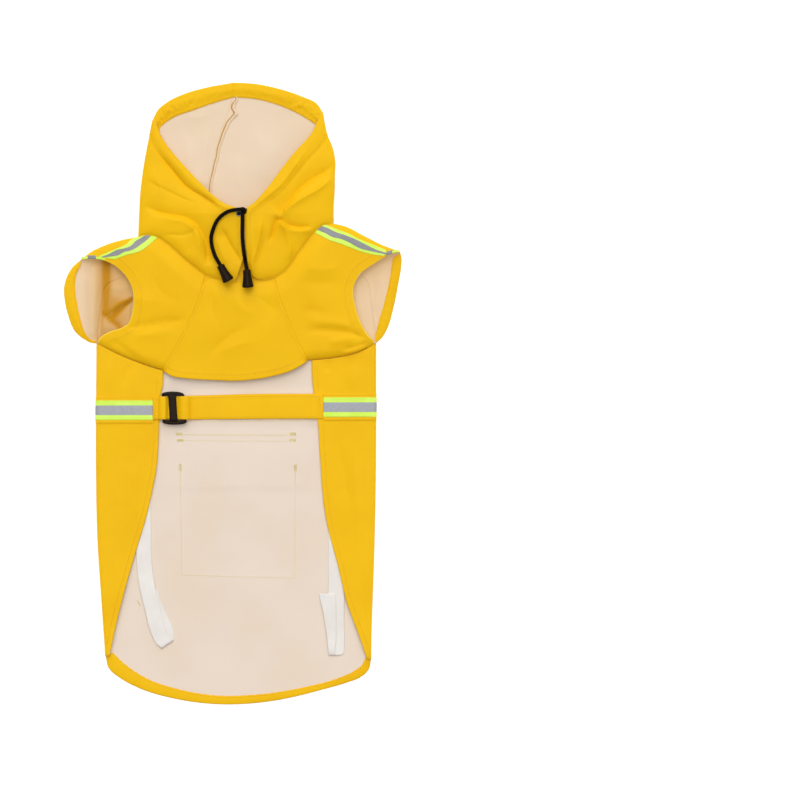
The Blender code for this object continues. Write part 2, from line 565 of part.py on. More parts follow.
def body_row(y, tail_share, under_share):
    """One section across the body: flap edge, fold, floor, fold, flap edge."""
    tail = L["tail"].at(np.linspace(0, 1, 300))
    if tail_share == 1.0:
        left, right = L["tail"].p[0], L["tail"].p[-1]
    else:
        left = level(L["fold_l"], y)
        right = level(L["fold_r"], y + (TAPE_Y[1] - TAPE_Y[0]) * smooth((60 - abs(y + 16)) / 40.0))
    centre, half = (left[0] + right[0]) / 2, (right[0] - left[0]) / 2

    def base(x):
        return left[1] + (right[1] - left[1]) * (x - left[0]) / (right[0] - left[0])

    def tail_curve(x):
        ends = L["tail"].p[0], L["tail"].p[-1]
        k = (x - ends[0][0]) / (ends[1][0] - ends[0][0])
        return np.interp(x, tail[:, 0], tail[:, 1]) - (ends[0][1] + (ends[1][1] - ends[0][1]) * k)

    def round_fold(flat, d):
        return FLOOR + BODY_FOLD / 2 + (flat - FLOOR - BODY_FOLD / 2) * float(cap(d / BODY_FOLD_W))

    def flap(edge, under, end, sign):
        """Side flap from its edge to the fold. Its top follows the underarm seam."""
        q = under.at(np.linspace(0, 1, 80))
        q = q[np.argsort(q[:, 0])]
        drop = under_share * (end[1] - np.interp(under.p[0][0], q[:, 0], q[:, 1]))
        e = level(edge, np.clip(end[1] - drop, -275.9, min(under.p[0][1], edge.p[0][1])))
        curl_x = end[0] + sign * BODY_FOLD_W
        xs = [e[0] + (curl_x - e[0]) * k for k in np.linspace(0, 1, N_EDGE)]
        xs += [end[0] + sign * BODY_FOLD_W * k for k in BODY_CURL]
        rows = []
        for x in xs:
            seam = np.interp(x, q[:, 0], q[:, 1]) - under.p[-1][1]
            yy = end[1] + under_share * seam - (HOOD_BACK if under_share == 1.0 else 0)
            top = flap_height(np.array([x]), np.array([yy]))[0]
            rows.append((x, yy, round_fold(top, abs(x - end[0]))))
        return rows

    out = flap(L["edge_l"], L["under_l"], left, 1)
    floor_x = [left[0] + BODY_FOLD_W * k for k in (0.134, 0.5, 1.0)]
    floor_x += [centre + half * k for k in FLOOR_X] + list(FLOOR_FIXED)
    floor_x += [centre - half * k for k in reversed(FLOOR_X)]
    floor_x += [right[0] - BODY_FOLD_W * k for k in (1.0, 0.5, 0.134)]
    for x in floor_x:
        yy = base(x) + tail_share * tail_curve(x) - (HOOD_BACK if under_share == 1.0 else 0)
        low = FLOOR + float(raised(np.array(x), np.array(yy)))
        out.append((x, yy, round_fold(low, min(abs(x - left[0]), abs(right[0] - x)))))
    out += reversed(flap(L["edge_r"], L["under_r"], right, -1))
    return np.array(out)


def back_panel():
    rows = np.array([body_row(*s) for s in STATIONS])
    n_rows, n_cols = rows.shape[:2]
    verts = list(rows.reshape(-1, 3))
    faces = grid_faces(n_rows, n_cols)
    # from the side folds' top end up to the neck the panel is one floor layer
    first, last = N_FLAP - 1, n_cols - N_FLAP
    base = rows[-1, first:last + 1]
    n = len(base)
    top = Chain(Stretch(L["backseam_l"], 2, 0), Stretch(L["neckback_l"], 2, 6),
                Stretch(L["neckback_r"], 7, 2), Stretch(L["backseam_r"], 0, 2))
    q = top.at(np.linspace(0, 1, 600))
    order = np.argsort(q[:, 0], kind="stable")
    ends = (L["backseam_l"], 1.3), (L["backseam_r"], -1.3)
    previous = list(range((n_rows - 1) * n_cols + first, (n_rows - 1) * n_cols + last + 1))
    span = base[-1, 0] - base[0, 0]
    for k in (0.25, 0.5, 0.75, 1.0):
        sides = []
        for line, back in ends:
            t = 1 + (line.s[2] - 1) * k
            p = line.at(np.array([t]))[0]
            sides.append((p[0] + back, p[1]))
        row = []
        for b in base:
            f = (b[0] - base[0, 0]) / span
            x = sides[0][0] + (sides[1][0] - sides[0][0]) * f
            seam = np.interp(x, q[order, 0], q[order, 1]) - 1.9
            side_y = sides[0][1] + (sides[1][1] - sides[0][1]) * f
            x1 = q[0, 0] + 1.3 + (q[-1, 0] - q[0, 0] - 2.6) * f
            goal = np.interp(x1, q[order, 0], q[order, 1]) - 1.9
            y = b[1] + (goal - b[1]) * k if 0 < f < 1 else side_y - 0.3 * (k == 1.0)
            y = min(y, seam) if k == 1.0 else y
            z = FLOOR + (b[2] - FLOOR) * (1 - smooth(k / 0.25))
            row.append(np.array([x, y, z]))
        index = list(range(len(verts), len(verts) + n))
        verts.extend(row)
        faces += [(previous[i], previous[i + 1], index[i + 1], index[i]) for i in range(n - 1)]
        previous = index
    wall("back_panel", verts, faces, coated("back_panel"))
    return rows


hood = {}
shoulders = {}
for s, name in (("l", "left"), ("r", "right")):
    hood[s] = hood_half(s)
    grid_wall("hood_" + name, hood[s], coated("hood_" + name))
    shoulders[s] = shoulder(s)
    grid_wall("shoulder_" + name, shoulders[s], coated("shoulder_" + name))
body = back_panel()


# ---- chest bib between the raglan seams, from the neck seam to its hem
def chest_bib(n=15):
    neck = Chain(Stretch(L["neck_l"], 4, 0), Stretch(L["neck_r"], 0, 3))
    u = np.tile(np.linspace(0, 1, n), (len(RAGLAN_V), 1))
    xy = patch(neck, L["bib_hem"], L["raglan_l"], L["raglan_r"], u, RAGLAN_V)
    xy = drawn_in(xy, RAGLAN_BACK, RAGLAN_BACK, SEAM_BACK, 0.3)
    return np.dstack([xy, chest_height(xy[..., 0], xy[..., 1])])


bib = chest_bib()
grid_wall("chest_bib", bib, coated("chest_bib"))


# ---- turned hems, seen inside the hood, the leg openings and the tail
def on_floor(x, y):
    return np.full(np.shape(x), FLOOR + STEP)


def in_roll(fold, height):
    def z(x, y):
        return rolled(lambda a, b: np.full(np.shape(a), height), fold,
                      np.stack([x, y], -1), HOOD_FOLD_W)[1] + STEP + 0.1
    return z


for s, name in (("l", "left"), ("r", "right")):
    strip_between("hood_hem_" + name, L["rim_" + s], L["hood_hem_" + s], 12,
                  in_roll(L["side_" + s], 4.4), coated("hood_hem_" + name), 0.07, 0.995)
    strip_between("cuff_hem_" + name, Stretch(L["far_" + s], 1, len(L["far_" + s].p) - 1),
                  L["cuff_hem_" + s], 9, on_floor, coated("cuff_hem_" + name), 0.0, 0.80)
strip_between("tail_hem", L["tail"], L["tail_hem"], 24, on_floor, coated("tail_hem"), 0.07, 0.94)


# ---- reflective tapes
def tape_across(rows):
    """The band lies on the body's own sections, moved out, from flap to flap."""
    line = []
    for section in rows:
        pts = section[:, [0, 2]]
        step = np.gradient(pts, axis=0)
        n = np.stack([step[:, 1], -step[:, 0]], -1)
        n /= np.linalg.norm(n, axis=1)[:, None]
        middle = np.array([pts[:, 0].mean(), pts[:, 1].mean()])
        if (n[len(n) // 2, 1]) > 0:
            n = -n
        out = np.column_stack([pts[:, 0] + n[:, 0] * STEP, section[:, 1],
                               pts[:, 1] + n[:, 1] * STEP])
        ends = []
        for x, part in ((TAPE_ENDS[0], slice(0, N_EDGE)), (TAPE_ENDS[1], slice(-N_EDGE, None))):
            seg = out[part]
            order = np.argsort(seg[:, 0])
            ends.append([x, np.interp(x, seg[order, 0], seg[order, 1]),
                         np.interp(x, seg[order, 0], seg[order, 2])])
        keep = [p for p in out[:N_EDGE] if p[0] < TAPE_ENDS[0] - 1]
        keep += list(out[N_EDGE:-N_EDGE])
        keep += [p for p in out[-N_EDGE:] if p[0] > TAPE_ENDS[1] + 1]
        line.append([ends[0]] + keep + [ends[1]])
    return np.array(line)


def tape_rows():
    """The three sections under the band: its edges and middle, at the body's own facets."""
    low, mid, high = (body[i] for i in TAPE_ROWS)
    k = (TAPE_W / 2) / 10.7
    return [mid + (low - mid) * k, mid, mid + (high - mid) * k]


reflective = material("reflective_tape", (0.36, 0.37, 0.38), 0.35, 0.3)
TAPE_ENDS = (BELT_X[0] - 0.5, BELT_X[1] + 0.5)
grid_wall("tape_body", tape_across(tape_rows()), reflective)

for s, name in (("l", "left"), ("r", "right")):
    cols = slice(SHOULDER_N, SHOULDER_N + len(SHOULDER_CURL) - 2)
    on = moved_out(shoulders[s], STEP + 0.25)[:, cols]
    on[0] = on[0] * 0.45 + on[1] * 0.55
    grid_wall("tape_shoulder_" + name, on, reflective)


# ---- pocket and its flap, under the back panel
def flat_piece(name, box, rows, mat):
    xs = np.linspace(box["x0"], box["x1"], 5)
    pts = np.array([[(x, y, z) for x in xs] for y, z in rows])
    return grid_wall(name, pts, mat)


flat_piece("pocket_flap", POCKET_FLAP,
           ((POCKET_FLAP["top"], FLOOR), (-66.5, FLOOR), (POCKET_FLAP["bottom"], FLOOR)),
           coated("pocket_flap"))
flat_piece("pocket", POCKET,
           ((POCKET["top"], FLOOR + STEP), (-79.0, FLOOR + STEP), (-96.5, FLOOR + STEP),
            (-103.5, FLOOR), (-149.0, FLOOR), (POCKET["bottom"], FLOOR)), coated("pocket"))

# ---- belly strap through the three-bar slide
pts = np.array([[(x, y, z) for y in np.linspace(BELT_Y[0], BELT_Y[1], 3)] for x, z in BELT_PATH])
grid_wall("belt", pts, coated("belt"))


def flat_outline(name, outlines, z, thickness, bevel, mat):
    """A flat plate from closed outlines in plan: the outer one and its holes."""
    data = bpy.data.curves.new(name, "CURVE")
    data.dimensions = "2D"
    data.fill_mode = "BOTH"
    data.extrude = thickness / 2 * 0.001 - bevel * 0.001
    data.bevel_depth = bevel * 0.001
    data.bevel_resolution = 0
    data.offset = -bevel * 0.001
    for rows in outlines:
        spline = data.splines.new("POLY")
        spline.points.add(len(rows) - 1)
        for point, (x, y) in zip(spline.points, rows):
            point.co = (x * 0.001, y * 0.001, 0, 1)
        spline.use_cyclic_u = True
    obj = add(name, data, mat)
    obj.location.z = z * 0.001
    return obj


def rounded_box(x0, x1, y0, y1, r, n=3):
    rows = []
    for cx, cy, start in ((x1 - r, y1 - r, 0), (x0 + r, y1 - r, 90), (x0 + r, y0 + r, 180),
                          (x1 - r, y0 + r, 270)):
        for k in range(n + 1):
            a = math.radians(start + 90 * k / n)
            rows.append((cx + r * math.cos(a), cy + r * math.sin(a)))
    return rows


black = material("black_plastic", (0.012, 0.011, 0.011), 0.35)
x0, x1 = GLIDE_X
y0, y1 = GLIDE_Y
flat_outline("triglide", (
    rounded_box(x0, x1, y0, y1, 3.0),
    rounded_box(x0 + GLIDE_END, GLIDE_BAR[0], y0 + GLIDE_RAIL, y1 - GLIDE_RAIL, 0.5, 1),
    rounded_box(GLIDE_BAR[1], x1 - GLIDE_END, y0 + GLIDE_RAIL, y1 - GLIDE_RAIL, 0.5, 1)),
    (GLIDE_Z[0] + GLIDE_Z[1]) / 2, GLIDE_Z[1] - GLIDE_Z[0], 0.3, black)


# ---- elastic leg loops
def loop(name, rows):
    path = np.array(rows, float)
    a = np.radians(path[:, 3])
    half = ELASTIC_W / 2 * np.stack([np.cos(a), np.sin(a), a * 0], -1)
    pts = np.stack([path[:, :3] - half, path[:, :3], path[:, :3] + half], axis=1)
    grid_wall(name, pts, material(name + "_elastic", (0.86, 0.86, 0.84), 0.8), ELASTIC_T)


loop("leg_loop_left", LOOP_L)
loop("leg_loop_right", LOOP_R)


# ---- drawcord: two free ends over the hood, their stops and the eyelet
def over_hood(x, y, lift):
    return float(hood_height(np.array(float(x)), np.array(float(y)))) + CLOTH / 2 + lift


def cord_points(rows, n, stop):
    """The cord's middle line, lying on the hood and rising to the stop's mouth."""
    t = np.linspace(0, 1, n)
    xy = Line(rows).at(t)
    lie = np.array([max(over_hood(x, y, CORD_D / 2 + GAP), over_hood(x - 1.5, y, CORD_D / 2 + GAP),
                        over_hood(x + 1.5, y, CORD_D / 2 + GAP)) for x, y in xy])
    for _ in range(3):
        lie[1:-1] = np.maximum(lie[1:-1], (lie[:-2] + lie[2:]) / 2)
    rise = smooth((t - 0.72) / 0.28)
    z = lie + (stop - lie) * rise
    return np.column_stack([xy, z])


def tube(name, pts, diameter, mat, resolution=2):
    data = bpy.data.curves.new(name, "CURVE")
    data.dimensions = "3D"
    data.bevel_depth = diameter / 2 * 0.001
    data.bevel_resolution = resolution
    data.use_fill_caps = True
    spline = data.splines.new("POLY")
    spline.points.add(len(pts) - 1)
    for point, p in zip(spline.points, pts):
        point.co = (p[0] * 0.001, p[1] * 0.001, p[2] * 0.001, 1)
    return add(name, data, mat)


def turned(name, profile, mat, steps=16):
    """A turned piece: radius and height from top to bottom, round the Z axis."""
    mesh = bpy.data.meshes.new(name)
    n = len(profile)
    closed = profile[0][0] > 0
    edges = [(i, i + 1) for i in range(n - 1)] + ([(n - 1, 0)] if closed else [])
    mesh.from_pydata([(r * 0.001, 0, z * 0.001) for r, z in profile], edges, [])
    obj = add(name, mesh, mat)
    mod = obj.modifiers.new("turn", "SCREW")
    mod.steps = mod.render_steps = steps
    mod.use_merge_vertices = True
    mod.merge_threshold = 0.00001
    return obj


def aim(obj, start, end):
    """Put a turned piece's origin at start, with its axis towards end."""
    a, b = Vector(start) * 0.001, Vector(end) * 0.001
    obj.location = a
    obj.rotation_mode = "QUATERNION"
    obj.rotation_quaternion = (b - a).to_track_quat("Z", "Y")


cord_mat = material("drawcord", (0.012, 0.011, 0.012), 0.75)
STOP_ENDS = dict(  # narrow end and wide end
    left=((-13.4, 130.9, 18.9), (-5.2, 115.2, 17.3)),
    right=((13.2, 125.9, 18.6), (14.5, 107.4, 16.9)),
)
for name, rows, count in (("left", CORD_L, 22), ("right", CORD_R, 15)):
    mouth, foot = STOP_ENDS[name]
    axis = np.array(foot) - np.array(mouth)
    axis /= np.linalg.norm(axis)
    pts = cord_points(rows, count, mouth[2])
    pts = np.vstack([pts, pts[-1] + axis * 2.4])
    tube("drawcord_" + name, pts, CORD_D, cord_mat)
    mouth = pts[-1] + axis * GAP
    stop = turned("cord_stop_" + name, (
        (0, STOP_L), (STOP_R0 - 0.7, STOP_L), (STOP_R0, STOP_L - 0.8), (STOP_R0 + 0.5, STOP_L * 0.6),
        (STOP_R1 - 0.3, 2.6), (STOP_R1, 1.6), (STOP_R1 - 0.2, 0.5), (STOP_R1 - 0.9, 0), (0, 0)),
        material("cord_stop_" + name + "_plastic", (0.012, 0.011, 0.011), 0.3))
    aim(stop, mouth + axis * STOP_L, mouth)

e = EYELET
r0, r1, h = e["r_in"], e["r_out"], e["thick"]
ring = turned("cord_eyelet", (
    (r1 - 0.2, h), (r1, h - 0.2), (r1, 0.0), (r0, 0.0), (r0, h - 0.2), (r0 + 0.2, h)),
    material("eyelet_metal", (0.25, 0.25, 0.26), 0.3, 1.0), 20)
slope = np.array([over_hood(e["x"] + d[0], e["y"] + d[1], 0) for d in ((-3, 0), (3, 0), (0, -3),
                                                                      (0, 3))])
n = Vector((-(slope[1] - slope[0]) / 6, -(slope[3] - slope[2]) / 6, 1)).normalized()
foot = Vector((e["x"], e["y"], over_hood(e["x"], e["y"], 0))) + n * 0.75
aim(ring, foot, foot + n)

# ---- leash slit through the back panel
panel = bpy.data.objects["back_panel"]
cutter = bpy.data.objects.new("leash_slit", bpy.data.meshes.new("leash_slit"))
bm = bmesh.new()
bmesh.ops.create_cube(bm, size=1.0)
for v in bm.verts:
    v.co.x = LEASH_SLIT["x"] * 0.001 + v.co.x * LEASH_SLIT["width"] * 0.001
    v.co.y = (LEASH_SLIT["y0"] + (v.co.y + 0.5) * (LEASH_SLIT["y1"] - LEASH_SLIT["y0"])) * 0.001
    v.co.z = v.co.z * 0.006
bm.to_mesh(cutter.data)
bm.free()
cutter.parent = coat
cutters.objects.link(cutter)
cutter.hide_render = True
cutter.display_type = "WIRE"
cut = panel.modifiers.new("slit", "BOOLEAN")
cut.operation = "DIFFERENCE"
cut.solver = "EXACT"
cut.object = cutter
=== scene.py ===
# Dog raincoat laid flat on its back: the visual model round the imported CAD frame.
#
# The cloth pieces are thin shells on the CAD pieces' own seams and heights, with their folds,
# hems and stitches added. The plan is worked in millimetres in the seam frame, as in the CAD,
# and is moved by ORIGIN to the middle of the footprint.
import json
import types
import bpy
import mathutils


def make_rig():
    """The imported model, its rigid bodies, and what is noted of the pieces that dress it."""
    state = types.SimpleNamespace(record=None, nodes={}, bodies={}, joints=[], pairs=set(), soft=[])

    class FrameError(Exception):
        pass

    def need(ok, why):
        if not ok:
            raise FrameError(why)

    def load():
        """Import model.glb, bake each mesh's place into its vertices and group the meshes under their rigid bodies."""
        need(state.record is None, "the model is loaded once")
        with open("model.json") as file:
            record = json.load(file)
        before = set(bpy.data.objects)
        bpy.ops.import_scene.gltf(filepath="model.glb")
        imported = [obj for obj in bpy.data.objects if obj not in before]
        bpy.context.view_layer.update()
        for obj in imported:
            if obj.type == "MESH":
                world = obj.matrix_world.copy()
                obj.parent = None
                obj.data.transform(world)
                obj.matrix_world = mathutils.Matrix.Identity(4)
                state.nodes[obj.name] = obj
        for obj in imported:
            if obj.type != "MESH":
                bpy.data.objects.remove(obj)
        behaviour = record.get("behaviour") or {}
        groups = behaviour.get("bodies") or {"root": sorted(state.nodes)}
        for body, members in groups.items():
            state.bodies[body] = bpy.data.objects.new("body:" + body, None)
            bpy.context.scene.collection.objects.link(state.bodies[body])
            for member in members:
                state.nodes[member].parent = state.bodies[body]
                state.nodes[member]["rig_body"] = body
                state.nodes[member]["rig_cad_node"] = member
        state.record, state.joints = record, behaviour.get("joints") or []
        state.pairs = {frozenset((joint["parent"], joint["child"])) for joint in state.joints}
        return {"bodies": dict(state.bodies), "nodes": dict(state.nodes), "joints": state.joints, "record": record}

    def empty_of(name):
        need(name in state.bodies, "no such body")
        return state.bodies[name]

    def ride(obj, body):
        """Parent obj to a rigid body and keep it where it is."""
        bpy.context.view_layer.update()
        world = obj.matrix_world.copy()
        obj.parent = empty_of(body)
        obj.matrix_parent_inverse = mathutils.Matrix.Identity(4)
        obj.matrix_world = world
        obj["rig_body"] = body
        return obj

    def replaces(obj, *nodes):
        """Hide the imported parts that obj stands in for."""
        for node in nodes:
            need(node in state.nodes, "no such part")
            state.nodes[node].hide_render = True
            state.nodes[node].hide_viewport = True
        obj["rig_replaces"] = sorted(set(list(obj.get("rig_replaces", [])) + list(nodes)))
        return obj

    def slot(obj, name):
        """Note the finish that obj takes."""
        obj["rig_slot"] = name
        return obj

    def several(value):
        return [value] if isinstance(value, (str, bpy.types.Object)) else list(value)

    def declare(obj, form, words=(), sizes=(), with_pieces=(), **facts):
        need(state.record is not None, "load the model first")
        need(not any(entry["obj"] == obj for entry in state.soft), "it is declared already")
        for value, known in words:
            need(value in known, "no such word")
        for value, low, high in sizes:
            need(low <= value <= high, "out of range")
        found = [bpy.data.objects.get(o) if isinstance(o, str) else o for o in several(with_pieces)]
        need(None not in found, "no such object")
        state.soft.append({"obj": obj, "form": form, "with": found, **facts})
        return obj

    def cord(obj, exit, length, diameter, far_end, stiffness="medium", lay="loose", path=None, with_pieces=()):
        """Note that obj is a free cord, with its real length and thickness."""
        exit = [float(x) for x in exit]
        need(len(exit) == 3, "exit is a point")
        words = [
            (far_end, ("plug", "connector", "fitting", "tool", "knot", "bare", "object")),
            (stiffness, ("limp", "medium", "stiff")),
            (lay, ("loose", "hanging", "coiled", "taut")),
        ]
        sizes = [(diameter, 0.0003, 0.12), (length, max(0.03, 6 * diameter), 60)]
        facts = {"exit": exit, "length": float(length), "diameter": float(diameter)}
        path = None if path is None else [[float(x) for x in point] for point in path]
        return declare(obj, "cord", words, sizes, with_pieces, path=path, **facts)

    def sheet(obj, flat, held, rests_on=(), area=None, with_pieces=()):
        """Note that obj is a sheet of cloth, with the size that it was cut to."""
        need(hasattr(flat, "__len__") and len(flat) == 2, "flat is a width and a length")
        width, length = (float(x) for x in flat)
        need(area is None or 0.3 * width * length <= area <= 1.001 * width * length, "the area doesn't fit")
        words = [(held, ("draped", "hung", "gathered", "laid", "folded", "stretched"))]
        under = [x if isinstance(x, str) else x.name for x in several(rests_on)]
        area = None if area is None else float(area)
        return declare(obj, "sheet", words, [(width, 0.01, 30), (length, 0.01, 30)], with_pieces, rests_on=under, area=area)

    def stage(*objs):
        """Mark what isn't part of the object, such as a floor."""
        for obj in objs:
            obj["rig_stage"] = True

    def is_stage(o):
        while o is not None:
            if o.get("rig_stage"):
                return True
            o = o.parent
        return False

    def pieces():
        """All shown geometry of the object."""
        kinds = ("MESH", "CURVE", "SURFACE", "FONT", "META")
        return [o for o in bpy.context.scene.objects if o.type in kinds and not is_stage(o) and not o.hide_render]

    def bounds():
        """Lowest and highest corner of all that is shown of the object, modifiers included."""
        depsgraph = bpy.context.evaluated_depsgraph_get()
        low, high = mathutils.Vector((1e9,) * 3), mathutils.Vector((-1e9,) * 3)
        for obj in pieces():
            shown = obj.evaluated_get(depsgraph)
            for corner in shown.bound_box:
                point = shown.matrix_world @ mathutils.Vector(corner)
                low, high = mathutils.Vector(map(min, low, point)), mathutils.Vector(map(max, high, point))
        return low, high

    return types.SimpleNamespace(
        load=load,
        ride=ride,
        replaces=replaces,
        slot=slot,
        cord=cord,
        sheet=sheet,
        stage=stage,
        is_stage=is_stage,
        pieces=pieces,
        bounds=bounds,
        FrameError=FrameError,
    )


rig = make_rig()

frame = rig.load()

import json
import math
import bpy
import bmesh
import numpy as np
from mathutils import Vector
from mathutils.bvhtree import BVHTree

CAD_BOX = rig.bounds()
MM = 0.001
scene = bpy.context.scene

# ---------------------------------------------------------------- camera, floor and light
LENS, SENSOR, FRAME_W = 150.0, 36.0, 0.832
cam_data = bpy.data.cameras.new("camera")
cam_data.lens, cam_data.sensor_width = LENS, SENSOR
camera = bpy.data.objects.new("camera", cam_data)
camera.location = (0.1737, -0.0068, FRAME_W * LENS / SENSOR)
scene.collection.objects.link(camera)
scene.camera = camera


def look_at(obj, target):
    obj.rotation_euler = (Vector(target) - obj.location).to_track_quat("-Z", "Y").to_euler()


def sun(name, place, strength, spread, colour=(1, 1, 1)):
    """Even light over the whole table, as from a very large soft source."""
    data = bpy.data.lights.new(name, "SUN")
    data.energy = strength
    data.angle = math.radians(spread)
    data.color = colour
    obj = bpy.data.objects.new(name, data)
    obj.location = place
    look_at(obj, (0, 0, 0))
    scene.collection.objects.link(obj)


SUN, TOP, FILL, WORLD = 1.34, 1.00, 0.20, 0.345
sun("key", (-0.12, 1.50, 1.40), SUN, 56)
sun("top", (0.05, 0.35, 2.0), TOP, 50)
sun("fill", (1.2, -1.0, 1.6), FILL, 60)
world = bpy.data.worlds.new("studio")
world.use_nodes = True
world.node_tree.nodes["Background"].inputs["Color"].default_value = (1.0, 1.0, 1.0, 1)
world.node_tree.nodes["Background"].inputs["Strength"].default_value = WORLD
scene.world = world
scene.view_settings.view_transform = "Standard"
scene.view_settings.look = "None"
scene.view_settings.exposure = 0.0
scene.view_settings.gamma = 1.0

# ---------------------------------------------------------------- materials
class Mat:
    """A Principled material with a few nodes round it."""

    def __init__(self, name, rough=0.5, metal=0.0, **sockets):
        self.m = bpy.data.materials.new(name)
        self.m.use_nodes = True
        self.t = self.m.node_tree
        self.b = self.t.nodes["Principled BSDF"]
        self.b.inputs["Roughness"].default_value = rough
        self.b.inputs["Metallic"].default_value = metal
        for key, value in sockets.items():
            self.b.inputs[key.replace("_", " ")].default_value = value
        self.place = self.t.nodes.new("ShaderNodeTexCoord").outputs["Object"]
        self.height = None

    def node(self, kind, **props):
        n = self.t.nodes.new(kind)
        for key, value in props.items():
            setattr(n, key, value)
        return n

    def link(self, a, b):
        self.t.links.new(a, b)

    def scaled(self, scale, rotation=(0, 0, 0)):
        n = self.node("ShaderNodeMapping")
        n.inputs["Scale"].default_value = scale if hasattr(scale, "__len__") else (scale,) * 3
        n.inputs["Rotation"].default_value = rotation
        self.link(self.place, n.inputs["Vector"])
        return n.outputs["Vector"]

    def noise(self, scale, detail=2.0, rough=0.5, vector=None):
        n = self.node("ShaderNodeTexNoise")
        n.inputs["Scale"].default_value = scale
        n.inputs["Detail"].default_value = detail
        n.inputs["Roughness"].default_value = rough
        self.link(vector or self.place, n.inputs["Vector"])
        return n.outputs["Fac"]

    def wave(self, pitch, axis="X", vector=None, distort=0.0, detail_scale=1.0):
        """Even threads across an axis, one for each pitch in millimetres."""
        n = self.node("ShaderNodeTexWave", wave_type="BANDS", bands_direction=axis)
        n.inputs["Scale"].default_value = 2 * math.pi / 20.0 / (pitch * MM)
        n.inputs["Distortion"].default_value = distort
        n.inputs["Detail"].default_value = 0.0
        n.inputs["Detail Scale"].default_value = detail_scale
        self.link(vector or self.place, n.inputs["Vector"])
        return n.outputs["Fac"]

    def math(self, op, a, b=None):
        n = self.node("ShaderNodeMath", operation=op)
        for socket, value in zip(n.inputs, (a, b)):
            if value is None:
                continue
            if isinstance(value, (int, float)):
                socket.default_value = value
            else:
                self.link(value, socket)
        return n.outputs[0]

    def ramp(self, fac, stops):
        n = self.node("ShaderNodeValToRGB")
        el = n.color_ramp.elements
        while len(el) < len(stops):
            el.new(0.5)
        for e, (pos, rgb) in zip(el, stops):
            e.position = pos
            e.color = (*rgb, 1)
        self.link(fac, n.inputs["Fac"])
        return n.outputs["Color"]

    def colour(self, fac, stops):
        self.link(self.ramp(fac, stops), self.b.inputs["Base Color"])

    def roughness(self, fac, low, high):
        n = self.node("ShaderNodeMapRange")
        n.inputs["To Min"].default_value = low
        n.inputs["To Max"].default_value = high
        self.link(fac, n.inputs["Value"])
        self.link(n.outputs["Result"], self.b.inputs["Roughness"])

    def bump(self, height, distance, strength=1.0):
        n = self.node("ShaderNodeBump")
        n.inputs["Distance"].default_value = distance * MM
        n.inputs["Strength"].default_value = strength
        self.link(height, n.inputs["Height"])
        if self.height is not None:
            self.link(self.height, n.inputs["Normal"])
        self.height = n.outputs["Normal"]
        self.link(self.height, self.b.inputs["Normal"])


def tint(rgb, k):
    return tuple(min(1.0, c * k) for c in rgb)


YELLOW = (0.905, 0.520, 0.0042)
YELLOW_DEEP = (0.885, 0.484, 0.0030)
CREAM = (0.835, 0.705, 0.590)
CREAM_WARM = (0.820, 0.675, 0.540)


def coated_cloth(name, rgb=YELLOW, deep=YELLOW_DEEP):
    """Plain woven polyester with a thin matt coating on its outer face."""
    m = Mat(name, 0.5, Specular_IOR_Level=0.11)
    big = m.noise(16.0, 3.0, 0.55)
    m.colour(big, ((0.30, deep), (0.50, rgb), (0.72, tint(rgb, 1.03))))
    m.roughness(m.noise(55.0, 3.0), 0.46, 0.60)
    weave = m.math("MULTIPLY", m.wave(0.62, "X", distort=0.4), m.wave(0.62, "Y", distort=0.4))
    m.bump(m.noise(42.0, 4.0, 0.5), 0.55, 0.30)      # soft unevenness of handled cloth
    m.bump(m.noise(230.0, 2.0, 0.5), 0.12, 0.35)
    m.bump(weave, 0.05, 0.55)
    return m.m


def cloth_reverse(name, rgb=CREAM, warm=CREAM_WARM):
    """The uncoated reverse of the same cloth, with painted shade and a painted glow where its vertices carry them."""
    m = Mat(name, 0.85, Specular_IOR_Level=0.2, Sheen_Weight=0.12, Sheen_Roughness=0.6)
    plain = m.ramp(m.noise(11.0, 3.0, 0.5), ((0.32, warm), (0.52, rgb), (0.75, tint(rgb, 1.02))))
    mix = m.node("ShaderNodeMix", data_type="RGBA")
    given = m.node("ShaderNodeAttribute", attribute_name="warmth").outputs["Fac"]
    rest = m.math("POWER", m.math("SUBTRACT", 1.0, given), 1.45)
    shade_and_glow_fac = m.math("SUBTRACT", 1.0, rest)
    m.link(shade_and_glow_fac, mix.inputs["Factor"])
    m.b.inputs["Emission Color"].default_value = (1.0, 0.75, 0.16, 1)      # painted glow, standing in for light let through the cloth
    # the painted glow is strongest where the painted shade is half laid on
    thin = m.math("MULTIPLY", shade_and_glow_fac, m.math("SUBTRACT", 1.0, shade_and_glow_fac))
    m.link(m.math("MULTIPLY", thin, 0.46), m.b.inputs["Emission Strength"])
    m.link(plain, mix.inputs["A"])
    # painted shade: the reverse darkens towards this orange-brown
    mix.inputs["B"].default_value = (0.57, 0.25, 0.0, 1)
    m.link(mix.outputs["Result"], m.b.inputs["Base Color"])
    weave = m.math("MULTIPLY", m.wave(0.70, "X", distort=0.6), m.wave(0.70, "Y", distort=0.6))
    m.roughness(weave, 0.80, 0.93)
    m.bump(m.noise(34.0, 4.0, 0.5), 0.6, 0.30)
    m.bump(weave, 0.06, 0.7)
    return m.m


yellow = coated_cloth("coated_cloth_outside")
yellow_hem = coated_cloth("coated_cloth_hem", tint(YELLOW, 1.0), YELLOW_DEEP)
# paler yellow on rims and rolled edges: a painted highlight
yellow_painted_highlight = coated_cloth("coated_cloth_edge", (0.95, 0.62, 0.07), (0.93, 0.58, 0.04))
cream = cloth_reverse("cloth_reverse")
# the seam allowance's raw edge, darkened to brown as a painted shade line
raw_edge_shade = cloth_reverse("cloth_raw_edge", (0.42, 0.23, 0.085), (0.36, 0.19, 0.06))


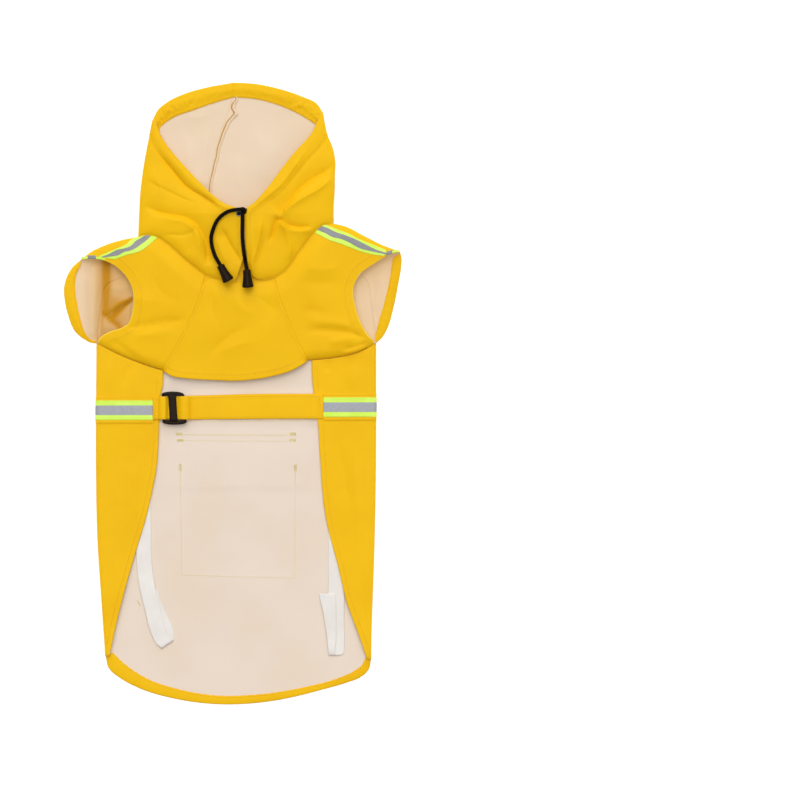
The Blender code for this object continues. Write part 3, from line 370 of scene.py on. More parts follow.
def tape_edge():
    m = Mat("tape_fluorescent", 0.55, Specular_IOR_Level=0.4, Emission_Strength=0.06)
    m.b.inputs["Emission Color"].default_value = (0.62, 1.0, 0.10, 1)
    m.colour(m.noise(60.0, 3.0), ((0.35, (0.61, 0.88, 0.075)), (0.65, (0.68, 0.93, 0.125))))
    weave = m.math("MULTIPLY", m.wave(0.55, "X"), m.wave(0.55, "Y"))
    m.bump(weave, 0.05, 0.7)
    return m.m


def tape_middle_mat():
    """Glass-bead reflective fabric: a fine even grain with a dull metallic face."""
    m = Mat("tape_reflective", 0.55, 0.08, Specular_IOR_Level=0.25)
    m.colour(m.noise(900.0, 1.0), ((0.30, (0.32, 0.335, 0.365)), (0.70, (0.42, 0.435, 0.465))))
    m.roughness(m.noise(45.0, 3.0), 0.36, 0.50)
    m.bump(m.noise(1600.0, 1.0), 0.05, 0.6)
    return m.m


def elastic_mat():
    m = Mat("knit_elastic", 0.8, Specular_IOR_Level=0.25, Sheen_Weight=0.2, Sheen_Roughness=0.5)
    m.colour(m.noise(40.0, 3.0), ((0.3, (0.825, 0.775, 0.725)), (0.7, (0.870, 0.830, 0.785))))
    m.bump(m.wave(0.85, "Y", distort=1.0), 0.10, 0.8)
    return m.m


def plastic_mat():
    m = Mat("moulded_plastic", 0.30, Specular_IOR_Level=0.09)
    m.colour(m.noise(70.0, 3.0), ((0.3, (0.0110, 0.0050, 0.0020)), (0.7, (0.0160, 0.0080, 0.0035))))
    m.roughness(m.noise(160.0, 3.0), 0.27, 0.42)
    m.bump(m.noise(500.0, 2.0), 0.03, 0.5)
    return m.m


def cord_mat_():
    m = Mat("braided_cord", 0.55, Specular_IOR_Level=0.07)
    m.colour(m.noise(500.0, 2.0), ((0.3, (0.0035, 0.0020, 0.0012)), (0.7, (0.0080, 0.0048, 0.0030))))
    m.bump(m.noise(1500.0, 2.0), 0.05, 0.6)
    return m.m


def thread_mat(name, rgb):
    m = Mat(name, 0.6, Specular_IOR_Level=0.35, Sheen_Weight=0.1)
    m.colour(m.noise(300.0, 2.0), ((0.3, tint(rgb, 0.88)), (0.7, rgb)))
    m.bump(m.noise(2500.0, 1.0), 0.03, 0.5)
    return m.m


def metal_mat():
    m = Mat("eyelet_metal", 0.3, 1.0)
    m.colour(m.noise(300.0, 2.0), ((0.3, (0.10, 0.10, 0.105)), (0.7, (0.22, 0.22, 0.225))))
    m.roughness(m.noise(700.0, 2.0), 0.22, 0.40)
    return m.m


lime, grey, elastic, black = tape_edge(), tape_middle_mat(), elastic_mat(), plastic_mat()
cord_cover, metal = cord_mat_(), metal_mat()
thread_yellow = thread_mat("thread_yellow", (0.82, 0.70, 0.24))
thread_dark = thread_mat("thread_on_yellow", (0.80, 0.41, 0.006))
thread_white = thread_mat("thread_white", (0.90, 0.90, 0.88))
thread_lime = thread_mat("thread_on_tape", (0.72, 0.95, 0.10))

floor_mat = Mat("studio_floor", 0.9, Specular_IOR_Level=0.1, Emission_Strength=0.30)
floor_mat.b.inputs["Emission Color"].default_value = (1, 1, 1, 1)
floor_mat.colour(floor_mat.noise(3.0, 2.0), ((0.3, (0.955, 0.955, 0.958)), (0.7, (0.965, 0.965, 0.965))))
floor_data = bpy.data.meshes.new("floor")
floor_data.from_pydata([(-7, -7, 0), (7, -7, 0), (7, 7, 0), (-7, 7, 0)], [], [(0, 1, 2, 3)])
floor = bpy.data.objects.new("floor", floor_data)
floor.data.materials.append(floor_mat.m)
scene.collection.objects.link(floor)
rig.stage(floor)

# a darker copy of the reflective tape for the shoulders: painted shade where the tape tilts away from the light
grey_painted_shade = grey.copy()
grey_painted_shade.name = "tape_reflective_shoulder"
for n in grey_painted_shade.node_tree.nodes:
    if n.type == "VALTORGB":
        for e, c in zip(n.color_ramp.elements, ((0.235, 0.24, 0.25, 1), (0.30, 0.305, 0.315, 1))):
            e.color = c

# ---------------------------------------------------------------- driving sizes, millimetres
CLOTH = 1.0            # wall of a cloth piece
GAP = 0.3              # clearance at a seam and between layers
STEP = CLOTH + GAP     # middle to middle of two layers
FLOOR = CLOTH / 2      # middle of a layer that lies on the floor

ORIGIN = (2.1, 0.45)   # the footprint's middle is this far left of and below the seam frame's zero

BODY_FOLD = 5.2        # height of the side fold, middle to middle
BODY_FOLD_W = 3.2      # how far the side fold's round reaches in
HOOD_FOLD_W = 11.5     # the same for the hood's side folds and the shoulder folds
FLAP_EDGE = 2.8        # side flap's height above the floor layer at its hemmed inner edge
FLAP_SLOPE = 55.0      # distance over which the side flap comes down to that

TAPE_W = 20.0          # reflective tape
TAPE_Y = (-17.9, -14.7)   # its middle at the left and right side folds
BELT_Y = (-27.4, -3.2)    # belly strap, edge to edge
BELT_X = (-84.6, 91.4)    # its sewn ends
GLIDE_X = (-76.0, -50.4)  # three-bar slide: outside, left to right
GLIDE_Y = (-31.9, 1.0)    # outside, tail to hood
GLIDE_BAR = (-68.9, -61.3)
GLIDE_RAIL = 3.6
GLIDE_END = 2.8
GLIDE_Z = (4.7, 6.7)
CORD_D = 4.0           # drawcord
STOP_L, STOP_R0, STOP_R1 = 18.6, 3.9, 6.2   # bell stop: length, end radii
ELASTIC_W, ELASTIC_T = 15.6, 0.8
POCKET = dict(x0=-60.5, x1=66.0, top=-61.5, bottom=-195.0)
POCKET_FLAP = dict(x0=-64.5, x1=67.5, top=-38.5, bottom=-94.5)
LEASH_SLIT = dict(x=-7.0, y0=47.0, y1=72.0, width=1.8)

# ---------------------------------------------------------------- seams and edges (x, y)
# Each is a smooth line through the places where it turns, in millimetres.
LINES = {
    # hood: rim on the floor layer, from its corner to the centre seam
    "rim_l": ((-85, 284), (-80, 294), (-70.5, 302), (-52, 311), (-31, 317), (-1.5, 322.5)),
    "rim_r": ((91, 291.5), (85.5, 300), (68.5, 308.5), (46, 316), (20, 321.3), (-1.5, 322.5)),
    # hood: front edge from the same corner down to the neck
    "front_l": ((-82.5, 283), (-77.5, 268), (-66, 251), (-52, 235), (-38, 220), (-22, 204.5),
                (-9.5, 195.5), (1, 191.5), (8.4, 187), (9.4, 160), (9.8, 146), (7.0, 134), (0.5, 115)),
    "front_r": ((89, 289), (80.5, 270), (64, 251), (48, 230.5), (34, 211.5), (20, 196),
                (13.5, 191), (10.8, 185), (11.6, 160), (13.0, 144), (14.8, 132), (18.5, 122),
                (26, 118)),
    # hood: side fold
    "side_l": ((-85, 284), (-89, 265), (-92.5, 246.5), (-96, 223.5), (-98, 205), (-99, 184),
               (-100, 162)),
    "side_r": ((91, 291.5), (95.5, 269.5), (101.8, 253.5), (104.2, 240), (103.8, 226),
               (103.6, 212), (102.5, 195), (101, 176)),
    # hood: centre seam, rim to neck
    "hood_seam": ((-1.5, 322.5), (-2.5, 307), (-10.5, 282), (-18.5, 255), (-23, 234), (-27, 211),
                  (-28, 185), (-24, 154), (-15.5, 122.5), (-7.5, 90.5)),
    # neck seam: front, from the middle out to the shoulder, then back, from there to the middle
    "neck_l": ((11.5, 115), (0, 115.2), (-12.5, 117.5), (-22, 119.5), (-30.5, 122), (-40.5, 129.5),
               (-52, 138.5), (-66, 151), (-79, 160.5), (-89.5, 163.5), (-100, 162)),
    "neck_r": ((11.5, 115), (22, 116), (31.5, 117.3), (41.5, 119.5), (52.5, 126), (62, 138),
               (73, 153.5), (83, 166), (91.5, 172.8), (101, 176)),
    "neckback_l": ((-100, 162), (-99.5, 146.5), (-96, 132), (-86.5, 118.5), (-72.5, 107),
                   (-44, 95.5), (-7.5, 90.5)),
    "neckback_r": ((101, 176), (104, 155), (106, 136), (100, 124), (86, 115.5), (59.5, 105),
                   (31.5, 97), (-7.5, 90.5)),
    # raglan seams on the chest and the seams from there to the leg openings
    "raglan_l": ((-30.5, 122), (-38, 96), (-49.5, 70), (-75, 23.5)),
    "raglan_r": ((41.5, 119.5), (44.5, 105), (52.5, 84), (64, 57), (76, 34)),
    "under_l": ((-75, 23.5), (-89, 28), (-105.5, 34), (-124, 42), (-143.5, 52)),
    "under_r": ((76, 34), (96.5, 36), (112.5, 38.5), (128, 42.5), (146.5, 52)),
    "bib_hem": ((-75, 23.5), (-64.5, 17.5), (-52, 15.5), (-19.5, 13.5), (-1, 12.8), (17.5, 14),
                (41, 18), (59.5, 23.8), (68.5, 28.6), (76, 34)),
    # shoulder fold, neck to leg opening
    "top_l": ((-100, 162), (-117.5, 158.5), (-135, 153), (-148.5, 146.5), (-158.5, 139)),
    "top_r": ((101, 176), (112.5, 173.5), (136, 162), (155, 152.5), (171.5, 146.5)),
    # leg opening: upper layer's rim and floor layer's rim, both from underarm to shoulder
    "near_l": ((-143.5, 52), (-137.5, 59), (-129, 63.5), (-118, 67), (-110, 72), (-106.5, 81.5),
               (-104.5, 94.5), (-105, 105), (-109, 116), (-117, 126.5), (-127.5, 134.5),
               (-137, 138.2), (-147.5, 139.2), (-158.5, 139)),
    "near_r": ((146.5, 52), (138.5, 60), (132, 70.5), (125, 90.5), (123, 109), (130.5, 124),
               (145, 134.5), (158.5, 143), (165.5, 145.6), (171.5, 146.5)),
    "far_l": ((-143.5, 52), (-150, 52.6), (-156.5, 56), (-166, 64), (-172.5, 78.5),
              (-176.5, 94.5), (-177.5, 109), (-174.5, 121), (-167.5, 132), (-158.5, 139)),
    "far_r": ((146.5, 52), (153, 58), (158.5, 68), (165, 90.5), (170, 116), (172.6, 131),
              (173, 140), (171.5, 146.5)),
    # raglan seam and underarm on the floor layer, neck corner to underarm
    "backseam_l": ((-96, 132), (-117.5, 121.5), (-134, 112.5), (-139.5, 86.5), (-143.5, 52)),
    "backseam_r": ((106, 136), (121.5, 128), (136, 118.5), (142.5, 86.5), (146.5, 52)),
    # body: side folds and hemmed inner edges of the side flaps, chest to tail
    "fold_l": ((-143.5, 52), (-144, -7.5), (-144, -90.5), (-142.5, -153), (-139.5, -200.5),
               (-137, -236), (-134.5, -272.5)),
    "fold_r": ((146.5, 52), (146.5, -7.5), (146.5, -59.5), (145.5, -132), (143.5, -200),
               (142, -240), (141.5, -276)),
    "edge_l": ((-75, 23.5), (-78.6, -17.5), (-80, -55), (-82, -79), (-86.5, -103), (-92.5, -129),
               (-103.5, -165.5), (-113.5, -200.5), (-122.5, -236), (-130.5, -272.5)),
    "edge_r": ((80.5, 34), (82.5, -1), (86.5, -28), (88.5, -59.5), (95.5, -132), (108, -181),
               (117.5, -219.5), (128, -248), (137.8, -276)),
    "tail": ((-134.5, -272.5), (-131, -286), (-118, -297), (-101, -306), (-60.5, -318),
             (-36.5, -321.8), (-9.5, -323.5), (15.5, -322.6), (41.5, -319.5), (91.5, -308),
             (117.5, -300.4), (130, -295.5), (138.5, -288), (141.5, -276)),
    "tail_hem": ((-128.5, -269), (-114.5, -282), (-94.5, -295.5), (-57, -308.5), (-20, -314.6),
                 (21, -313.8), (72, -306), (109, -296), (121.5, -290.6), (132, -283),
                 (137, -273.5)),
    # turned hems seen inside: their stitched edge
    "hood_hem_l": ((-78, 276.5), (-66, 285.5), (-42.5, 294.5), (-19.5, 302.5), (-2, 307.5)),
    "hood_hem_r": ((84, 279.5), (64, 291.5), (41, 301), (20, 306), (-2, 307.5)),
    "cuff_hem_l": ((-148.5, 54.5), (-155, 61), (-160.5, 76), (-164.5, 94.5), (-166.4, 110.5),
                   (-165, 124), (-160, 134)),
    "cuff_hem_r": ((146, 57), (148.5, 69), (154.5, 90.5), (161, 117), (163.2, 131), (164.5, 141)),
}

# ---------------------------------------------------------------- heights (y, middle, side)
# Upper layer above the floor at stations up the coat, on its centre line and 95 mm to the side.
UPPER = (  # y, middle, side
    (292, 4.0, 4.0),
    (264, 9.0, 7.5),
    (234, 14.0, 10.0),
    (206, 17.5, 11.5),
    (186, 19.0, 11.5),
    (160, 16.5, 11.0),
    (135, 14.0, 10.5),
    (112, 11.5, 10.0),
    (90, 10.5, 10.0),
    (60, 9.5, 9.5),
    (35, 7.4, 8.6),
    (12, 6.4, 7.8),
)
NECK_H = 8.6           # height of the front neck seam
NECK_ROLL = 11.0       # the hood rises from the seam over this distance
UNDER_ROLL = 10.0      # and the shoulder rises from the side flap over this one
HOOD_BACK = 1.2        # clearance of a rising wall's edge from its seam
SEAM_BACK = 0.6        # clearance of a flat panel's edge from its seam
RAGLAN_BACK = 0.25     # the same at a seam whose two sides share their rows
FLOOR_BACK = 1.0       # the same on the floor layer

# Elastic leg loops: middle line and the direction of the width, from the hidden end to the
# sewn end, round the tip
LOOP_L = (  # x, y, z, degrees
    (-95.5, -112.0, 1.7, 0), (-95.0, -138.0, 1.7, 2), (-93.6, -163.0, 1.7, 4),
    (-92.6, -186.0, 1.8, 6), (-91.0, -199.0, 2.85, 9), (-86.3, -221.5, 2.85, 15),
    (-81.6, -238.0, 2.85, 16), (-77.6, -254.0, 2.85, 17), (-76.0, -260.6, 2.85, 20),
    (-75.3, -261.8, 2.28, 22), (-74.6, -260.6, 1.7, 24), (-72.6, -252.0, 1.7, 20),
    (-74.0, -240.0, 1.7, 18), (-78.0, -228.0, 1.7, 22), (-84.9, -214.0, 1.7, 22),
    (-88.5, -206.0, 1.7, 18),
)
LOOP_R = (  # x, y, z, degrees
    (106.0, -112.0, 1.7, 0), (106.0, -150.0, 1.7, 0), (106.0, -190.0, 1.7, 0),
    (106.0, -230.0, 1.7, 0), (106.0, -270.4, 1.7, 0), (105.9, -271.6, 2.28, 0),
    (105.5, -270.4, 2.85, -2), (104.2, -258.0, 2.85, -7), (101.2, -242.0, 2.85, -10),
    (98.0, -224.0, 2.85, -11), (94.8, -208.5, 2.85, -11),
)

# Belt: its middle surface from the left sewn end, over, under and over the slide's bars
BELT_PATH = (  # x, z
    (-84.6, 4.6), (-79.6, 4.65), (-77.0, 6.7), (-75.4, 7.5), (-72.6, 7.45), (-69.7, 3.85),
    (-67.5, 3.72), (-62.6, 3.72), (-60.4, 3.85), (-53.9, 7.4), (-52.0, 7.55), (-49.8, 7.4),
    (-45.2, 4.5), (-38.0, 3.8), (-10.0, 3.7), (30.0, 3.7), (66.0, 3.75), (74.0, 3.9),
    (81.0, 4.65), (86.0, 4.65), (91.4, 4.65),
)

# Drawcord ends over the hood
CORD_L = (  # x, y
    (8.8, 191.9), (2.0, 191.7), (-8.5, 186.6), (-20.0, 178.0), (-23.5, 166.5), (-24.0, 156.0),
    (-22.0, 145.5), (-18.4, 138.2), (-14.6, 132.8),
)
CORD_R = (  # x, y
    (9.8, 186.6), (9.6, 176.0), (9.6, 159.0), (11.2, 143.0), (12.4, 134.0), (13.0, 128.2),
)
EYELET = dict(x=3.6, y=184.2, r_out=4.0, r_in=2.4, thick=0.9)


def smooth(t):
    t = np.clip(t, 0.0, 1.0)
    return t * t * (3 - 2 * t)


def cap(t):
    """Quarter round: rises upright at 0 and is level at 1."""
    return np.sqrt(np.maximum(0.0, 1 - (1 - np.clip(t, 0.0, 1.0)) ** 2))


class Line:
    """A smooth line through its turning points, from 0 to 1 along its length."""

    def __init__(self, rows):
        self.p = np.array(rows, float)
        step = np.hypot(*np.diff(self.p[:, :2], axis=0).T)
        self.s = np.r_[0, np.cumsum(step)]
        self.length = self.s[-1]
        self.s = self.s / self.length
        d = np.diff(self.p, axis=0) / np.diff(self.s)[:, None]
        m = np.empty_like(self.p)
        m[0], m[-1] = d[0], d[-1]
        w = np.diff(self.s)[:, None]
        m[1:-1] = (d[:-1] * w[1:] + d[1:] * w[:-1]) / (w[1:] + w[:-1])
        self.m = m

    def at(self, t):
        t = np.clip(np.asarray(t, float), 0, 1)
        i = np.clip(np.searchsorted(self.s, t, side="right") - 1, 0, len(self.s) - 2)
        h = self.s[i + 1] - self.s[i]
        k = ((t - self.s[i]) / h)[..., None]
        h = h[..., None]
        return ((2 * k ** 3 - 3 * k ** 2 + 1) * self.p[i] + (k ** 3 - 2 * k ** 2 + k) * h * self.m[i]
                + (3 * k ** 2 - 2 * k ** 3) * self.p[i + 1] + (k ** 3 - k ** 2) * h * self.m[i + 1])

    def distance(self, x, y, n=64):
        q = self.at(np.linspace(0, 1, n))
        a, b = q[:-1], q[1:]
        ab = b - a
        px, py = np.asarray(x)[..., None] - a[:, 0], np.asarray(y)[..., None] - a[:, 1]
        k = np.clip((px * ab[:, 0] + py * ab[:, 1]) / (ab ** 2).sum(1), 0, 1)
        return np.hypot(px - k * ab[:, 0], py - k * ab[:, 1]).min(-1)


class Stretch:
    """The stretch of a line between two of its turning points, in either direction."""

    def __init__(self, line, i, j):
        self.line, self.t0, self.t1 = line, line.s[i], line.s[j]
        self.length = abs(self.t1 - self.t0) * line.length

    def at(self, t):
        t = np.clip(np.asarray(t, float), 0, 1)
        return self.line.at(self.t0 + (self.t1 - self.t0) * t)


class Chain:
    """Lines end to end as one, with a sharp corner kept at each joint."""

    def __init__(self, *lines):
        self.lines = lines
        self.length = sum(l.length for l in lines)
        self.s = np.r_[0, np.cumsum([l.length for l in lines])] / self.length

    def at(self, t):
        t = np.clip(np.asarray(t, float), 0, 1)
        out = np.zeros(t.shape + (2,))
        for i, line in enumerate(self.lines):
            lo, hi = self.s[i], self.s[i + 1]
            inside = (t >= lo) & (t <= hi)
            out[inside] = line.at((t[inside] - lo) / (hi - lo))
        return out


L = {name: Line(rows) for name, rows in LINES.items()}


def reverse(line):
    return Line(line.p[::-1])


# ---------------------------------------------------------------- heights of the layers
def upper(x, y):
    """Height of the upper layer's middle, without its rolls at folds and seams."""
    rows = np.array(UPPER)[::-1]
    mid = np.interp(y, rows[:, 0], rows[:, 1])
    side = np.interp(y, rows[:, 0], rows[:, 2])
    t = np.clip(np.abs(x - 3) / 95.0, 0, 1.0)
    z = mid + (side - mid) * t * t
    return z


def tape_middle(x):
    """The band's middle at a place across the body."""
    return TAPE_Y[0] + (TAPE_Y[1] - TAPE_Y[0]) * np.clip((x + 144) / 290.5, 0, 1)


def raised(x, y):
    """Height of the floor layer over the band, the pocket and its flap beneath it."""
    band = smooth((TAPE_W / 2 + 7.5 - np.abs(y - tape_middle(x))) / 5.5)
    wide = smooth((72.6 - np.abs(x - 2.0)) / 6.0)
    flap = wide * smooth((POCKET_FLAP["top"] + 8 - y) / 6.0) * smooth(
        (y - POCKET_FLAP["bottom"] + 8.5) / 6.5)
    bag = wide * smooth((POCKET["top"] + 8 - y) / 6.0) * smooth((y - POCKET["bottom"] + 8) / 6.5)
    return STEP * (np.maximum(band, flap) + bag)


def flap_height(x, y):
    """Height of a side flap's middle, from its fold down to its hemmed edge."""
    d = np.minimum(L["fold_l"].distance(x, y), L["fold_r"].distance(x, y))
    return FLOOR + FLAP_EDGE + (BODY_FOLD - FLAP_EDGE) * (1 - smooth(d / FLAP_SLOPE))


def chest_height(x, y):
    """Shoulders and bib: down to the side flaps along the underarm seams and to NECK_H along
    the neck seam."""
    z = upper(x, y)
    d = np.minimum(L["under_l"].distance(x, y), L["under_r"].distance(x, y))
    low = flap_height(x, y)
    z = low + (z - low) * cap((d - HOOD_BACK) / UNDER_ROLL)
    d = np.minimum(L["neck_l"].distance(x, y), L["neck_r"].distance(x, y))
    return NECK_H + (z - NECK_H) * smooth(d / 18.0)


def hood_height(x, y):
    z = upper(x, y)
    d = np.minimum(L["neck_l"].distance(x, y), L["neck_r"].distance(x, y))
    return NECK_H + (z - NECK_H) * cap((d - HOOD_BACK) / NECK_ROLL)


def rolled(height, fold, xy, width):
    """Front height and floor height of a layer that is rolled round a fold on to the floor."""
    x, y = xy[..., 0], xy[..., 1]
    near = cap(fold.distance(x, y) / width)
    top = height(x, y)
    middle = (top + FLOOR) / 2
    return middle + (top - middle) * near, middle + (FLOOR - middle) * near


# ---------------------------------------------------------------- folds placed one by one
HOOD_FOLDS = (  # height, width left, width right, fades, line
    (-4.02, 3, 11, 0.25, 0.2, ((-81.1, 253.8), (-73.8, 242.3), (-65.4, 232.4), (-50.5, 214.8),
     (-31.2, 202.7), (-13.4, 190.7))),
    (-4.73, 9, 3.4, 0.2, 0.12, ((-95.7, 197.6), (-88.4, 191.9), (-81.7, 188.9), (-65.4, 185.1),
     (-50.5, 182.1), (-41.6, 176.9), (-34.2, 166.5), (-29.7, 156.1), (-28.2, 144.6), (-28.6, 130))),
    (1.75, 3.5, 5, 0.25, 0.25, ((-78, 182), (-65.5, 179.4), (-50.5, 176.5), (-40.6, 167),
     (-36.1, 156), (-35.4, 140.4))),
    (-1.22, 4, 3, 0.25, 0.35, ((-40.6, 173.7), (-44.7, 166.9), (-55, 163.6), (-65.4, 164.1),
     (-77.3, 161.7))),
    (-1.4, 3, 3.5, 0.25, 0.3, ((-39.5, 173.7), (-43.7, 161.2), (-46.4, 150.8), (-48.9, 140.4))),
    (1.22, 8, 8, 0.4, 0.4, ((-88.4, 237.1), (-78, 215.3), (-69.7, 200.7))),
    (-3.32, 3.2, 6.5, 0.25, 0.25, ((-14.6, 173.7), (-9.4, 163.3), (-1, 148.3), (6, 137.3),
     (8.3, 127.9))),
    (1.57, 4, 4, 0.3, 0.3, ((-18.7, 163.3), (-13.5, 146.6), (-5.2, 130))),
    (-1.4, 2.6, 8, 0.3, 0.35, ((-96.7, 225.2), (-81.1, 215.3), (-65.5, 207.5), (-51, 200.7),
     (-33.3, 194.5))),
    (4.55, 3.6, 9, 0.3, 0.25, ((28.5, 188.2), (28.1, 177.8), (26.2, 164.3), (21.3, 144),
     (18.7, 134.2), (20.3, 124.8), (25.5, 119.6))),
    (1.93, 3.5, 4.5, 0.35, 0.25, ((80.1, 256.9), (68.6, 243.4), (58.2, 228.8), (49.2, 216.8),
     (34.3, 203.8), (21.3, 193.4))),
    (-4.55, 3, 9.5, 0.25, 0.1, ((106.1, 238.2), (90.5, 228.3), (79, 221.5), (65.5, 210.1),
     (55.6, 197.6), (45.2, 184.6))),
    (3.32, 4.5, 3.2, 0.25, 0.1, ((106.1, 227.8), (98.8, 221), (88.4, 212.2), (77, 205.3),
     (68.6, 200.5), (58.2, 193.4), (47.8, 185.1))),
    (-3.32, 3.5, 3, 0.12, 0.3, ((46.6, 182.5), (49.4, 178.4), (55.1, 174.7), (65.5, 172.4),
     (82.2, 172.6))),
    (2.27, 3, 4, 0.12, 0.3, ((46.6, 180.4), (49.9, 173.7), (56.7, 168.9), (69.7, 167.4),
     (86.3, 168.5))),
    (-4.02, 3.4, 3, 0.15, 0.45, ((45.1, 184.1), (42.6, 175.8), (39.8, 166.4), (37.2, 158.1),
     (34.8, 150.8))),
    (2.27, 2.6, 4.5, 0.2, 0.3, ((46.3, 180.4), (51.5, 171.6), (55.6, 162.2), (58.2, 150.8),
     (56.2, 134.2))),
    (-1.05, 4, 5, 0.4, 0.4, ((32.2, 167.4), (30.2, 152.9), (28.1, 136.2))),
    (-0.7, 5, 5, 0.4, 0.4, ((60.3, 163.3), (65.5, 150.8), (66.6, 138.3))),
)
HOOD_BACK_FOLDS = (  # height, width left, width right, fades, line
    (2.4, 9, 8, 0.4, 0.2, ((-53, 275.6), (-49.9, 257.9), (-45.8, 229.8), (-42.6, 204.9))),
    (2.2, 6, 7, 0.35, 0.2, ((-25, 279.8), (-30.2, 259), (-30.7, 237.1), (-29.1, 204.9))),
    (1, 10, 10, 0.4, 0.4, ((-59.3, 294.3), (-40.6, 286), (-21.8, 292.2))),
    (1.6, 14, 14, 0.4, 0.3, ((15.6, 283.9), (28.1, 252.7), (23.9, 211.1))),
    (1.2, 12, 12, 0.4, 0.4, ((59.3, 292.2), (46.8, 263.1), (34.3, 229.8))),
    (0.9, 9, 9, 0.4, 0.4, ((5.2, 252.7), (1, 231.9), (5.2, 204.9))),
    (1.2, 16, 16, 0.4, 0.4, ((-78, 169.5), (-46.8, 159.1), (-15.6, 163.3))),
    (1.2, 16, 16, 0.4, 0.4, ((80.1, 167.4), (46.8, 152.9), (15.6, 159.1))),
)
CHEST_FOLDS = (  # height, width left, width right, fades, line
    (-2.66, 5, 5, 0.2, 0.3, ((-113.4, 67.6), (-95.7, 69.7), (-77, 72.8), (-61.4, 74.9),
     (-46.8, 77.5))),
    (1.4, 7, 7, 0.3, 0.3, ((-107.1, 58.2), (-83.2, 61.4), (-61.4, 65.5))),
    (-1.68, 2.6, 3, 0.25, 0.35, ((-131, 55.1), (-119, 49.4), (-105, 38.5), (-92.6, 31.2))),
    (1.4, 9, 9, 0.4, 0.4, ((-121.7, 107.1), (-98.8, 96.7), (-67.6, 96.7))),
    (-1.26, 8, 8, 0.4, 0.4, ((-88.4, 136.2), (-78, 107.1), (-51, 90.5))),
    (-1.54, 5, 5, 0.3, 0.4, ((-24.4, 119.6), (-23.9, 96.7), (-20.8, 78), (-15.6, 65.5))),
    (-1.4, 7, 6, 0.4, 0.4, ((21.8, 71.8), (1, 63.4), (-19.8, 46.8), (-32.2, 34.3))),
    (1.26, 8, 8, 0.4, 0.4, ((28.1, 55.1), (1, 48.9), (-21.8, 38.5))),
    (1.26, 9, 9, 0.4, 0.4, ((-3.1, 107.1), (5.2, 90.5), (28.1, 78))),
    (-1.12, 8, 8, 0.4, 0.4, ((11.4, 105), (28.1, 96.7), (51, 78))),
    (-2.8, 4, 4.5, 0.3, 0.2, ((67.6, 66.6), (84.2, 65.5), (103, 64.5), (121.7, 61.9),
     (140.4, 55.1))),
    (1.68, 6, 5, 0.3, 0.3, ((73.8, 74.9), (98.8, 73.8), (125.8, 68.6))),
    (-1.4, 7, 8, 0.35, 0.35, ((65.5, 87.4), (82.2, 85.3), (98.8, 81.1))),
    (-1.26, 7, 8, 0.4, 0.4, ((61.4, 117.5), (84.2, 114.4), (113.4, 115.4))),
    (1.4, 8, 7, 0.4, 0.4, ((67.6, 132.1), (94.6, 127.9), (115.4, 134.2))),
    (-2.38, 2.6, 2.4, 0.3, 0.2, ((108.2, 44.2), (119.6, 46.3), (131, 49.4), (141.4, 53))),
    (2.52, 2.4, 2.4, 0.25, 0.2, ((110.2, 42.1), (121.7, 42.6), (132.1, 46.8), (141.4, 50.4))),
    (-2.1, 2.2, 2.2, 0.3, 0.2, ((114.4, 40.6), (124.8, 40.4), (134.2, 44.7), (142, 48.9))),
    (1.68, 3, 3, 0.3, 0.3, ((94.6, 51), (109.2, 54.1), (127.9, 57.2))),
)
FLAP_FOLDS = (  # height, width left, width right, fades, line
    (-1.2, 2.5, 2.5, 0.3, 0.4, ((96.7, 35.4), (97.1, 28.1), (96.2, 19.8))),
    (-1.05, 5, 5, 0.3, 0.4, ((-107.1, 33.3), (-113.4, 19.8), (-115.4, 3.1))),
    (1.05, 7, 7, 0.4, 0.4, ((-127.9, 38.5), (-130, 19.8), (-125.8, 1))),
    (1.2, 8, 8, 0.4, 0.4, ((125.8, 32.2), (121.7, 15.6), (123.8, 1))),
    (-0.9, 9, 9, 0.4, 0.4, ((-117.5, -38.5), (-121.7, -80.1), (-115.4, -132.1))),
    (1.2, 9, 9, 0.4, 0.4, ((-98.8, -48.9), (-103, -90.5), (-109.2, -152.9))),
    (1.2, 10, 10, 0.4, 0.4, ((121.7, -48.9), (125.8, -100.9), (130, -163.3))),
    (-1.05, 8, 8, 0.4, 0.4, ((107.1, -38.5), (113.4, -80.1), (121.7, -132.1))),
    (0.9, 7, 7, 0.4, 0.4, ((-127.9, -152.9), (-123.8, -194.5), (-121.7, -246.5))),
    (-0.9, 7, 7, 0.4, 0.4, ((136.2, -173.7), (134.2, -215.3), (136.2, -256.9))),
)
PANEL_FOLDS = (  # height, width left, width right, fades, line
    (0.54, 14, 14, 0.4, 0.4, ((-72.8, -59.3), (-69.7, -111.3), (-78, -173.7))),
    (0.48, 16, 16, 0.4, 0.4, ((88.4, -80.1), (80.1, -132.1), (86.3, -194.5))),
    (0.48, 18, 18, 0.4, 0.4, ((-36.4, -225.7), (5.2, -238.2), (57.2, -227.8))),
    (0.42, 14, 14, 0.4, 0.4, ((-46.8, -7.3), (5.2, -12.5), (57.2, -5.2))),
    (0.54, 12, 14, 0.4, 0.4, ((-67.6, -277.7), (-26, -290.2), (26, -286))),
    (0.36, 20, 20, 0.4, 0.4, ((5.2, -90.5), (1, -132.1), (11.4, -173.7))),
)
